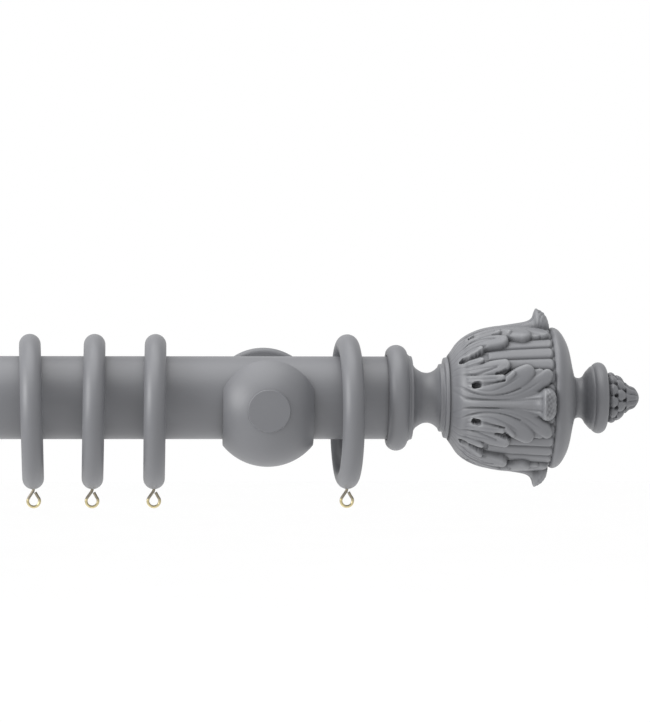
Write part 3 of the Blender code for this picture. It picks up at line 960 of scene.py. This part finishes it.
    def stud(self, length: float, lie: Lie) -> bpy.types.Mesh:
        """A rod threaded from end to end, from the origin up its own axis."""
        radius = self.thread_radius
        outline = [(0, length), (radius - 0.7, length), (radius, length - 0.7), (radius, 0.7), (radius - 0.7, 0)]
        outline = dense([*outline, (0, 0)], 0.25)
        heights, radii = spun(outline, 40)
        cut_in = threaded(radii, heights, (0.2, length - 0.2), 1.25, 0.6)
        return turned_mesh("stud_rod", heights, np.where(radii > radius - 0.1, cut_in, radii), lie, crease=45)

    def lock_screw(self) -> bpy.types.Mesh:
        """A cap screw that points up, with a hexagon socket below; origin at its head's upper face."""
        tip = self.drop - self.pole_radius - self.pole_room - (self.lock_head_top - self.gap)
        head = self.lock_head_radius
        outline = [(0, tip), (self.lock_radius - 0.5, tip), (self.lock_radius, tip - 0.5), (self.lock_radius, 0)]
        under = -self.lock_head_depth
        outline += eased([(self.lock_radius, 0), (head, 0), (head, under), (0, under)], 0.35)[1:]
        blank = lathe("clamp_screw", outline, Lie.UPRIGHT, 64, ease=0)
        socket = rod_mesh(self.key_radius, under - self.key_depth, under + self.key_depth, Lie.UPRIGHT, 6)
        return cut(blank, [socket])

    def build(self) -> None:
        """Adds the bracket's pieces."""
        word = self.side.word
        wall = Matrix.Translation(self.centre)
        paint = Paint(grain=Grain.ROUND_Y, seed=20.0 + self.side.way).material(f"bracket_paint_coat_{word}")
        steel = Steel().material(f"plate_steel_{word}")
        stud_steel = Steel(colour=(0.56, 0.56, 0.55)).material(f"stud_steel_{word}")
        screw_steel = Steel(colour=(0.60, 0.58, 0.52), roughness=0.3).material(f"screw_steel_{word}")
        ball = wall @ Matrix.Translation((0, -(self.pole_to_wall + self.forward) * MM, 0))
        put(f"ball_cup_{word}", self.cup(), paint, Fit("brackets", f"bracket_cup_{word}", "bracket_paint"), ball)
        put(f"arm_turning_{word}", self.arm(), paint, Fit("brackets", f"bracket_arm_{word}", "bracket_paint"), wall)
        put(f"rose_turning_{word}", self.rose(), paint, Fit("brackets", f"wall_rose_{word}", "bracket_paint"), wall)
        put(f"wall_disc_{word}", self.plate(), steel, Fit("brackets", f"wall_plate_{word}", "plate_steel"), wall)
        stud_at = wall @ Matrix.Translation((0, -self.gap * MM, 0))
        stud = self.stud(self.stud_front - self.gap, Lie.TO_ROOM)
        put(f"stud_rod_{word}", stud, stud_steel, Fit("brackets", f"bracket_stud_{word}", "stud_steel"), stud_at)
        screw = self.wall_screw()
        for place, way in (("upper", 1), ("lower", -1)):
            head = wall @ Matrix.Translation(
                (0, (self.gap - self.plate_thickness) * MM, way * self.screw_spread * MM)
            )
            fit = Fit("brackets", f"wall_screw_{place}_{word}", "screw_steel")
            put(f"wall_fixing_{place}_{word}", screw, screw_steel, fit, head)
        seat = wall @ Matrix.Translation(
            (0, -self.pole_to_wall * MM, (self.lock_head_top - self.gap) * MM)
        )
        lock_fit = Fit(f"lock_screw_{word}", f"lock_screw_{word}", "screw_steel")
        put(f"clamp_screw_{word}", self.lock_screw(), screw_steel, lock_fit, seat)


# ---------------------------------------------------------------- finials
@dataclass(frozen=True)
class Lobe:
    """One lobe of a carved leaf, drawn as a stroke that swells and narrows.

    Its stations are (millimetres from the collar's face, degrees from the leaf's rib, half width in millimetres).
    """

    stations: tuple[tuple[float, float, float], ...]
    rise: tuple[float, float]
    lean: float = 0.0
    vein: float = 0.0


@dataclass(frozen=True)
class Hollow:
    """A drilled or gouged stroke, cut down to a depth below the reeds' crests, or above them where it is negative."""

    stations: tuple[tuple[float, float, float], ...]
    depth: float


@dataclass
class Relief:
    """The urn's carving: leaves that fan up from its foot over a ring of reeds; millimetres and degrees."""

    leaves: int = 4
    leaf_turn: float = 3.0
    reeds: int = 32
    reed_depth: float = 1.9
    degree: float = 0.72
    spread: float = 1.2
    blunt: float = 1.5
    foot: float = 37.8
    mouth: float = 99.6
    fade_from: float = 40.5
    fade_over: float = 9.0
    reed_end: float = 99.5
    reed_scallop: float = 2.6
    reed_nose: float = 1.5
    leaf_end: float = 96.5
    leaf_fade: float = 3.0
    leaf_rise: float = 3.4
    leaf_edge: float = 1.1
    vein_half_width: float = 0.42
    flare_from: float = 86.0
    flare_over: float = 5.0
    tatter_from: float = 92.0
    tatter_depth: float = 1.1
    flute_depth: float = 0.45
    crease_half_width: float = 0.55
    crease_depth: float = 0.5
    # passes of smoothing for the surface from which the painted shade and painted highlight are measured
    softenings: int = 10
    outline: tuple[tuple[float, float], ...] = (
        (37.8, 46.0),
        (46.0, 45.6),
        (50.0, 43.2),
        (57.0, 40.0),
        (62.0, 33.0),
        (66.0, 24.0),
        (75.0, 15.0),
        (86.0, 11.0),
        (96.0, 9.0),
    )
    bell: tuple[tuple[float, float], ...] = (
        (37.8, 26.0),
        (40.5, 29.3),
        (44.0, 32.4),
        (50.5, 36.2),
        (59.0, 39.5),
        (70.0, 41.6),
        (81.0, 42.5),
        (91.0, 43.2),
        (96.0, 43.5),
        (99.6, 43.6),
    )
    rib: tuple[tuple[float, float], ...] = (
        (37.8, 0.0),
        (40.5, 0.6),
        (44.5, 2.5),
        (50.4, 3.3),
        (59.2, 3.3),
        (70.1, 3.0),
        (81.1, 3.8),
        (86.0, 4.5),
        (88.8, 5.9),
        (90.2, 8.2),
        (91.0, 10.9),
        (91.8, 11.9),
        (93.7, 11.3),
        (96.2, 9.6),
        (98.4, 6.7),
        (99.6, 2.6),
    )
    rib_width: tuple[tuple[float, float], ...] = (
        (37.8, 15.0),
        (40.0, 11.5),
        (43.0, 7.0),
        (47.0, 4.2),
        (55.0, 3.4),
        (70.0, 4.3),
        (80.0, 5.5),
        (86.0, 7.4),
        (90.0, 10.2),
        (92.5, 12.4),
        (95.6, 12.6),
        (98.2, 10.4),
        (99.6, 7.0),
    )
    lobes: tuple[Lobe, ...] = (
        Lobe(
            ((66, 9.0, 2.0), (74, 12.6, 4.0), (81, 17.4, 5.0), (86.5, 21.4, 4.2), (90, 24.4, 2.8)),
            (1.4, 1.9), 0.16, 0.0,
        ),
        Lobe(
            ((40.5, 13.0, 2.3), (46, 8.4, 2.1), (54, 6.0, 1.9), (62, 5.6, 2.1), (74, 7.4, 3.0), (82, 11.6, 4.0),
             (88, 16.4, 4.3), (92.2, 20.2, 3.8), (94.3, 23.4, 3.1)),
            (2.2, 2.4), 0.16, 0.35,
        ),
        Lobe(
            ((40.5, 21.5, 2.2), (46, 15.8, 2.3), (52, 12.2, 2.4), (60, 10.8, 3.3), (68, 14.2, 4.6), (74, 18.4, 5.3),
             (79, 22.4, 5.2), (82, 25.2, 4.4)),
            (2.6, 4.1), 0.16, 0.45,
        ),
        Lobe(
            ((55, 13.3, 1.2), (61, 14.0, 1.9), (67, 17.2, 1.9), (71, 20.8, 1.7), (73.5, 23.8, 1.6)),
            (3.0, 5.2), 0.0, 0.0,
        ),
        Lobe(
            ((40.5, 27.2, 2.4), (47, 22.8, 2.7), (55, 20.8, 2.6), (62, 20.4, 2.6), (65, 20.4, 2.4), (67, 20.6, 2.1)),
            (3.0, 4.7), 0.08, 0.4,
        ),
        Lobe(
            ((40.5, 35.0, 2.3), (47, 31.8, 3.1), (54, 30.6, 4.1), (61, 30.4, 4.6), (66, 31.2, 4.2),
             (68.6, 32.2, 3.4)),
            (2.7, 4.6), -0.10, 0.45,
        ),
        Lobe(
            ((40.5, 42.0, 1.5), (46, 39.4, 2.3), (51, 38.2, 2.7), (54.6, 38.8, 2.4)),
            (2.3, 4.2), -0.10, 0.3,
        ),
    )
    hollows: tuple[Hollow, ...] = (
        Hollow(((51.2, 16.4, 2.0), (52.9, 16.6, 2.0)), 2.0),
        Hollow(((54.6, 16.8, 0.8), (61, 17.2, 0.6), (68.5, 18.6, 0.5)), -2.3),
        Hollow(((45.2, 45.0, 2.3), (46.4, 45.0, 2.2)), 1.8),
        Hollow(((48.6, 44.8, 1.1), (51.0, 44.4, 1.2), (54.0, 43.9, 1.7), (58.0, 43.5, 2.1)), 1.3),
        Hollow(((63.6, 24.6, 0.5), (66, 25.0, 0.8), (69.5, 26.2, 1.2)), -1.2),
    )
    creases: tuple[tuple[tuple[float, float, float], ...], ...] = (
        ((39.0, 13.5, 0.6), (42, 8.6, 0.6), (46.6, 4.8, 0.6), (60, 3.1, 0.55), (75, 3.0, 0.5), (90, 4.6, 0.5)),
        ((40.0, 19.2, 0.55), (48, 11.4, 0.55), (56.6, 7.4, 0.5), (68, 8.2, 0.4), (78, 12.6, 0.3)),
        ((39.6, 32.0, 0.5), (50.2, 26.2, 0.55), (58, 27.6, 0.5), (64, 29.8, 0.4)),
        ((39.6, 39.6, 0.5), (47, 36.2, 0.55), (54, 35.6, 0.5), (59, 36.4, 0.3)),
    )

    def rows(self) -> np.ndarray:
        """Heights of the rows up the urn, closer together where the leaf tips stand up."""
        even = np.arange(self.foot, self.mouth + 0.01, 0.43)
        close = np.arange(89.6, 92.2, 0.18)
        far = even[(even < 89.4) | (even > 92.3)]
        return np.sort(np.concatenate([far, close, [self.mouth]]))

    def stroke(
        self, stations: Sequence[Sequence[float]], s: np.ndarray, a: np.ndarray
    ) -> tuple[np.ndarray, np.ndarray, np.ndarray, np.ndarray]:
        """How grid points lie in a stroke.

        Args:
            stations: the stroke's stations.
            s: the points' distances along the urn.
            a: the points' degrees from the rib.

        Returns:
            Depth inside the stroke's edge (negative outside), share of its length, signed place across it from
            -1 to 1, and half width there.
        """
        spine = flowing(stations, 110)
        off_s = s[..., None] - spine[:, 0]
        off_a = (a[..., None] - spine[:, 1]) * self.degree
        depth = spine[:, 2] - np.hypot(off_s, off_a)
        best = depth.argmax(axis=-1)
        inside = np.take_along_axis(depth, best[..., None], -1)[..., 0]
        way = np.gradient(spine[:, :2] * (1.0, self.degree), axis=0)
        way /= np.linalg.norm(way, axis=1)[:, None]
        pick_s = np.take_along_axis(off_s, best[..., None], -1)[..., 0]
        pick_a = np.take_along_axis(off_a, best[..., None], -1)[..., 0]
        width = spine[best, 2]
        across = (way[best, 0] * pick_a - way[best, 1] * pick_s) / np.maximum(width, 0.1)
        return inside, best / (len(spine) - 1), np.clip(across, -1, 1), width

    def reed_tops(self, s: np.ndarray, a: np.ndarray) -> np.ndarray:
        """The ring of reeds, each with a rounded nose at its upper end."""
        reed = np.abs(((a * self.reeds / 360.0) + 0.5) % 1.0 - 0.5) * 2.0
        crest = np.sqrt(np.maximum(0.0, 1.0 - np.minimum(reed, 0.995) ** 3.2))
        end = self.reed_end - self.reed_scallop * (1 - np.sqrt(1 - np.minimum(reed, 0.99) ** 2))
        nose = np.sqrt(np.clip((end - s) / self.reed_nose, 0.0, 1.0))
        return -self.reed_depth + self.reed_depth * crest * nose

    def leaf_sheet(self, s: np.ndarray, a: np.ndarray, foot: np.ndarray) -> np.ndarray:
        """The thin leaf that its lobes and rib stand on."""
        edge = through(s, self.outline)
        thick = (0.95 - 0.33 * foot) * np.minimum(through(s, self.rib), self.leaf_rise)
        body = thick * smooth_step((edge - a) * self.degree / self.leaf_edge)
        within = (a < edge) & (s < self.leaf_end)
        return np.where(within, body * smooth_step((self.leaf_end - s) / self.leaf_fade), BARE)

    def lobe_top(self, lobe: Lobe, s: np.ndarray, a: np.ndarray, foot: np.ndarray) -> np.ndarray:
        """One lobe, flat-topped with steep sides and a vein along its middle."""
        broad = [(along, way_round, max(half * self.spread, self.blunt)) for along, way_round, half in lobe.stations]
        inside, share, across, width = self.stroke(broad, s, a)
        reach = 1.0 - np.clip(inside / np.maximum(width, 0.1), 0.0, 1.0)
        dome = np.sqrt(np.maximum(0.0, 1.0 - reach**6.5))
        crown = 0.86 + 0.14 * (1 - reach**2)
        rise = lobe.rise[0] + (lobe.rise[1] - lobe.rise[0]) * share**1.2
        top = rise * (0.12 + 0.88 * foot) * crown * (1 + lobe.lean * across)
        vein = lobe.vein * np.exp(-((across * width / self.vein_half_width) ** 2))
        top -= vein * smooth_step(share / 0.12) * smooth_step((0.86 - share) / 0.2)
        return np.where(inside > 0, top * dome - 0.5 * (1 - dome), BARE)

    def rib_top(self, s: np.ndarray, a: np.ndarray) -> np.ndarray:
        """The leaf's middle rib, fluted, which flares into a ragged tip that stands out."""
        span = np.clip(np.abs(a) / through(s, self.rib_width), 0, 1)
        flare = smooth_step((s - self.flare_from) / self.flare_over)
        round_top = np.sqrt(np.maximum(0.0, 1 - span**2.6))
        rib = through(s, self.rib) * ((1 - flare) * (0.9 + 0.1 * round_top) + flare * (0.35 + 0.65 * round_top))
        flute = 0.5 - 0.5 * np.cos(span * 3 * math.pi)
        ragged = 0.5 + 0.25 * np.sin(s * 2.9 + a * 1.3) + 0.25 * np.sin(s * 1.7 - a * 2.1)
        rib = rib - self.flute_depth * flute * smooth_step((s - 50) / 8)
        rib = rib - self.tatter_depth * ragged * smooth_step((s - self.tatter_from) / 1.5)
        return np.where(span < 1, rib * round_top**0.5, BARE)

    def height(self, s: np.ndarray, a: np.ndarray) -> np.ndarray:
        """How far the carving stands above the bell.

        Args:
            s: distances along the urn.
            a: degrees from the nearest leaf's rib, without sign.

        Returns:
            Heights in millimetres.
        """
        foot = smooth_step((s - self.fade_from) / self.fade_over)
        made = np.maximum(self.reed_tops(s, a), self.leaf_sheet(s, a, foot))
        for lobe in self.lobes:
            made = np.maximum(made, self.lobe_top(lobe, s, a, foot))
        made = np.maximum(made, self.rib_top(s, a))
        reach = self.crease_half_width
        for crease in self.creases:
            inside = self.stroke(crease, s, a)[0]
            depth = np.clip(1 + inside / reach, 0, 1.4)
            made = made - self.crease_depth * (0.25 + 0.75 * foot) * depth**1.5 * (inside > -reach)
        for hollow in self.hollows:
            inside = self.stroke(hollow.stations, s, a)[0]
            share = smooth_step(inside / 0.5 + 0.5)
            made = made * (1 - share) + np.minimum(made, -hollow.depth) * share
        return made

    def radii(self, columns: int) -> tuple[np.ndarray, np.ndarray, np.ndarray]:
        """The carved outside of the urn.

        Args:
            columns: how many facets go round it.

        Returns:
            The rows' heights, a grid of radii, and how hollow the surface is at each point, from -1 to 1, which the
            paint turns into painted shade and painted highlight.
        """
        s = self.rows()
        turn = np.degrees(angles_of(columns)) - self.leaf_turn
        sector = 360.0 / self.leaves
        a = np.abs((turn + sector / 2) % sector - sector / 2)
        grid_s = np.repeat(s[:, None], columns, axis=1)
        grid_a = np.repeat(a[None, :], len(s), axis=0)
        radii = through(grid_s, self.bell) + self.height(grid_s, grid_a)
        soft = radii.copy()
        for _ in range(self.softenings):
            soft = (soft + np.roll(soft, 1, axis=1) + np.roll(soft, -1, axis=1)) / 3
            padded = np.vstack([soft[:1], soft, soft[-1:]])
            soft = (padded[:-2] + padded[1:-1] + padded[2:]) / 3
        # depth below the smoothed surface, kept for painted shade in hollows and a painted highlight on crests
        hollow = np.clip(soft - radii, -1, 1)
        return s, radii, hollow


@dataclass(frozen=True)
class ScaleTier:
    """A tier of scales round the bud, from low to high; phase turns it by a share of one scale."""

    low: float
    high: float
    count: int
    phase: float


@dataclass
class Finial:
    """A turned and carved end piece; millimetres from the collar's open face."""

    side: Side
    pole_radius: float = Pole.radius
    clearance: float = 0.7
    lap: float = 10.0
    thread_radius: float = 4.0
    spigot_radius: float = 8.0
    stud_length: float = 38.0
    gap: float = 0.3
    urn_columns: int = 512
    cap_columns: int = 240
    urn_seat: float = 37.75
    cap_seat: float = 99.65
    base_spigot: float = 7.5
    cap_spigot: float = 7.8
    urn_socket: float = 8.0
    urn_foot_socket_end: float = 45.3
    stud_hole_end: float = 32.0
    bud_from: float = 135.9
    bud_tip_radius: float = 2.0
    scale_depth: float = 3.0
    pit_depth: float = 2.4
    rib_depth: float = 1.4
    ribs_from: float = 146.6
    ribs_end: float = 156.0
    tiers: tuple[ScaleTier, ...] = (ScaleTier(135.6, 142.2, 11, 0.0), ScaleTier(140.6, 147.6, 10, 0.3))
    relief: Relief = field(default_factory=Relief)

    def base(self) -> bpy.types.Mesh:
        """The beaded collar, the cove neck and the spigot for the urn."""
        seat = self.urn_seat
        spigot_end = seat + self.base_spigot
        socket = self.pole_radius + self.clearance
        floor = self.lap + self.gap
        bore = self.thread_radius + self.gap
        profile = [(0, spigot_end), (self.spigot_radius, spigot_end), (self.spigot_radius, seat)]
        cove = flowing(
            ((18.8, 31.6), (16.9, 29.4), (15.7, 26.9), (15.4, 24.4), (16.0, 21.6), (17.4, 19.2), (18.9, 17.4),
             (21.4, 15.9)), 40,
        )
        profile += [(24.8, seat), (25.0, 37.0), (24.6, 35.2), (21.2, 34.9), (20.9, 34.2), (20.8, 32.4)]
        profile += [(r, z) for r, z in cove.tolist()]
        profile += [(23.8, 15.6), (25.6, 15.4), (25.8, 14.0), (26.7, 13.2), (26.8, 12.7)]
        profile += arc((26.3, 6.0), (6.2, 6.6), 82, -65.4, 30)
        profile += [(socket, 0), (socket, floor), (bore, floor), (bore, self.stud_hole_end), (0, self.stud_hole_end)]
        return lathe("finial_collar", profile, Lie.ALONG_POLE, 128, ease=0.45)

    def urn(self) -> bpy.types.Mesh:
        """The carved bell, with a bore at each end."""
        bore = self.spigot_radius + self.gap
        rows, radii, hollow = self.relief.radii(self.urn_columns)
        top = self.relief.mouth
        foot = self.relief.foot
        floor = top - self.urn_socket
        foot_end = self.urn_foot_socket_end
        top_heights, flat_top = spun([(0, floor), (bore, floor), (bore, top), (30.0, top)], self.urn_columns)
        foot_heights, flat_foot = spun([(bore, foot), (bore, foot_end), (0, foot_end)], self.urn_columns)
        heights = np.concatenate([top_heights, rows[::-1], foot_heights])
        grid = np.vstack([flat_top, radii[::-1], flat_foot])
        mesh = turned_mesh("finial_carved_urn", heights, grid, Lie.ALONG_POLE, crease=80)
        # how hollow each point is, stored as an attribute for the paint's painted shade and painted highlight
        sunk = np.vstack([flat_top * 0, hollow[::-1], flat_foot * 0]).ravel()
        used = np.ones(grid.size, bool)
        used[1 : self.urn_columns] = False
        used[grid.size - self.urn_columns + 1 :] = False
        layer = mesh.attributes.new("hollow", "FLOAT", "POINT")
        layer.data.foreach_set("value", sunk[used].astype(np.float32))
        return mesh

    def bud_carving(self, heights: np.ndarray) -> np.ndarray:
        """How far the bud's scales, pits and ribbed tip stand out from its turned outline, row by row."""
        turn = angles_of(self.cap_columns)
        scales = np.full((len(heights), self.cap_columns), -1.0)
        pits = np.zeros(scales.shape)
        for tier in self.tiers:
            across = (((turn / (2 * math.pi) * tier.count + tier.phase) % 1.0) - 0.5) * 2.0
            along = (heights - (tier.low + tier.high) / 2) / ((tier.high - tier.low) / 2)
            inside = 1 - along[:, None] ** 2 - (across[None, :] * 0.94) ** 2
            scales = np.maximum(scales, np.sqrt(np.maximum(0.0, inside)))
            gap_at = 1.0 - np.abs(across)
            hole = np.hypot(gap_at[None, :] * math.pi * 14.0 / tier.count, (heights - tier.high + 1.7)[:, None])
            pits = np.maximum(pits, smooth_step((1.45 - hole) / 0.7))
        ribs = smooth_step((heights - self.ribs_from) / 1.2)[:, None]
        lines = self.rib_depth * (1 - np.abs(np.sin(5 * turn + 0.2)) ** 0.5)[None, :]
        groove = lines * smooth_step((self.ribs_end - heights) / 2.5)[:, None]
        proud = self.scale_depth * (np.maximum(scales, 0.0) - 0.85) - self.pit_depth * pits
        return (1 - ribs) * proud - ribs * groove

    def cap(self) -> bpy.types.Mesh:
        """The dome over the urn, its neck and bead, and the pinecone bud."""
        seat = self.cap_seat
        spigot = self.spigot_radius
        spigot_end = seat - self.cap_spigot
        bud = flowing(
            ((0.0, 156.5), (2.4, 155.9), (4.1, 155.0), (5.9, 153.7), (6.9, 152.4), (7.4, 151.0), (7.9, 149.8),
             (9.9, 147.6), (12.2, 145.4), (13.5, 143.2), (14.7, 141.2), (15.3, 139.0), (15.2, 137.0),
             (14.8, 135.8)), 96,
        )
        neck = flowing(((16.2, 123.2), (13.4, 121.4), (12.4, 119.8), (12.3, 118.2), (12.9, 116.6), (14.4, 115.5)), 22)
        dome = flowing(
            ((14.4, 115.5), (22.6, 113.4), (32.8, 110.9), (38.2, 108.4), (41.5, 106.0), (43.0, 103.8), (43.3, 101.9),
             (42.6, 100.4)), 52,
        )
        profile = [(max(r, 0.0), z) for r, z in bud.tolist()]
        profile += arc((17.2, 131.0), (4.7, 4.6), 80, -58, 28)
        profile += [(19.2, 126.0), (18.4, 125.2)]
        profile += [(r, z) for r, z in neck.tolist()]
        profile += [(r, z) for r, z in dome.tolist()[1:]]
        profile += [(41.8, seat), (spigot, seat), (spigot, spigot_end), (0, spigot_end)]
        heights, radii = spun(eased(profile, 0.4, 3, 26), self.cap_columns)
        on_bud = (heights > self.bud_from)[:, None] & (radii > self.bud_tip_radius)
        radii = np.where(on_bud, radii + self.bud_carving(heights), radii)
        return turned_mesh("finial_pinecone_cap", heights, radii, Lie.ALONG_POLE, crease=50)

    def build(self) -> None:
        """Adds the finial's pieces."""
        word = self.side.word
        low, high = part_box(f"finial_base_{word}")
        axis = middle("pole")
        face = Vector((low.x if self.side.way > 0 else high.x, axis.y, axis.z))
        turn = Matrix.Identity(4) if self.side.way > 0 else Matrix.Rotation(math.pi, 4, "Z")
        place = Matrix.Translation(face) @ turn
        body = f"finial_{word}"
        turned_paint = Paint(grain=Grain.ROUND_X, seed=40.0 + self.side.way).material(f"finial_paint_turned_{word}")
        carved_paint = Paint(grain=Grain.EVEN, seed=50.0 + self.side.way).material(f"finial_paint_carved_{word}")
        steel = Steel(grain=Grain.ROUND_X).material(f"dowel_steel_{word}")
        pieces = (
            ("collar", self.base(), turned_paint, f"finial_base_{word}"),
            ("carved_urn", self.urn(), carved_paint, f"finial_urn_{word}"),
            ("pinecone_cap", self.cap(), turned_paint, f"finial_cap_{word}"),
        )
        for kind, mesh, paint, node in pieces:
            put(f"finial_{kind}_{word}", mesh, paint, Fit(body, node, "finial_paint"), place)
        start = (self.lap - Pole.sleeve_length + self.gap) * MM
        dowel = Bracket(self.side).stud(self.stud_length, Lie.ALONG_POLE)
        at = place @ Matrix.Translation((start, 0, 0))
        put(f"finial_dowel_{word}", dowel, steel, Fit(body, f"finial_stud_{word}", "stud_steel"), at)


# ---------------------------------------------------------------- studio
@dataclass(frozen=True)
class Lamp:
    """A square soft lamp; metres and watts."""

    name: str
    place: tuple[float, float, float]
    size: float
    power: float


@dataclass
class Studio:
    """Pale floor, white surround, two broad lamps and the camera; metres, and degrees for the camera's turns."""

    eye: tuple[float, float, float] = (0.4616, -1.867, 0.0679)
    lens: float = 144.6
    down: float = 1.46
    right: float = 2.92
    roll: float = -0.14
    floor_height: float = -1.0
    floor_half: float = 14.0
    lamps_face: tuple[float, float, float] = (0.45, -0.09, 0.0)
    lamps: tuple[Lamp, ...] = (
        Lamp("side_lamp", (-1.17, -0.86, 0.62), 1.1, 34.0),
        Lamp("top_lamp", (0.30, -0.34, 1.8), 2.2, 40.0),
    )

    def floor(self) -> None:
        """The floor, which isn't part of the object."""
        shape = bmesh.new()
        bmesh.ops.create_grid(shape, x_segments=12, y_segments=12, size=self.floor_half)
        mesh = mesh_from(shape, "floor")
        floor = bpy.data.objects.new("floor", mesh)
        floor.location.z = self.floor_height
        mesh.materials.append(StudioFloor().material("pale_floor"))
        bpy.context.scene.collection.objects.link(floor)

    def hang(self, lamp: Lamp) -> None:
        """Puts up a lamp that faces the object."""
        light = bpy.data.lights.new(lamp.name, "AREA")
        light.shape = "SQUARE"
        light.size = lamp.size
        light.energy = lamp.power
        place = Vector(lamp.place)
        hung = bpy.data.objects.new(lamp.name, light)
        hung.location = place
        hung.rotation_euler = (Vector(self.lamps_face) - place).to_track_quat("-Z", "Y").to_euler()
        bpy.context.scene.collection.objects.link(hung)

    def surround(self) -> None:
        """Even white light from all round."""
        world = bpy.data.worlds.new("white_surround")
        bpy.context.scene.world = world
        world.use_nodes = True
        background = world.node_tree.nodes["Background"]
        background.inputs["Color"].default_value = (1.0, 1.0, 1.0, 1.0)
        background.inputs["Strength"].default_value = 1.0

    def camera(self) -> None:
        """The camera, a little above the pole and level with it but for a slight tilt."""
        data = bpy.data.cameras.new("camera")
        data.lens = self.lens
        data.sensor_width = 36.0
        data.clip_start = 0.05
        data.clip_end = 60.0
        camera = bpy.data.objects.new("camera", data)
        camera.location = self.eye
        camera.rotation_euler = (
            math.radians(90 - self.down),
            math.radians(self.roll),
            math.radians(-self.right),
        )
        bpy.context.scene.collection.objects.link(camera)
        bpy.context.scene.camera = camera

    def build(self) -> None:
        """Sets up the floor, the light and the camera."""
        bpy.context.scene.view_settings.view_transform = "Standard"
        self.floor()
        self.surround()
        for lamp in self.lamps:
            self.hang(lamp)
        self.camera()


def main() -> None:
    """Builds every sub-assembly in order, then the studio."""
    logging.basicConfig(level=logging.INFO, format="%(name)s: %(message)s")
    Pole().build()
    RingSet().build()
    for side in Side:
        Bracket(side).build()
        Finial(side).build()
    Studio().build()


if __name__ == "__main__":
    main()
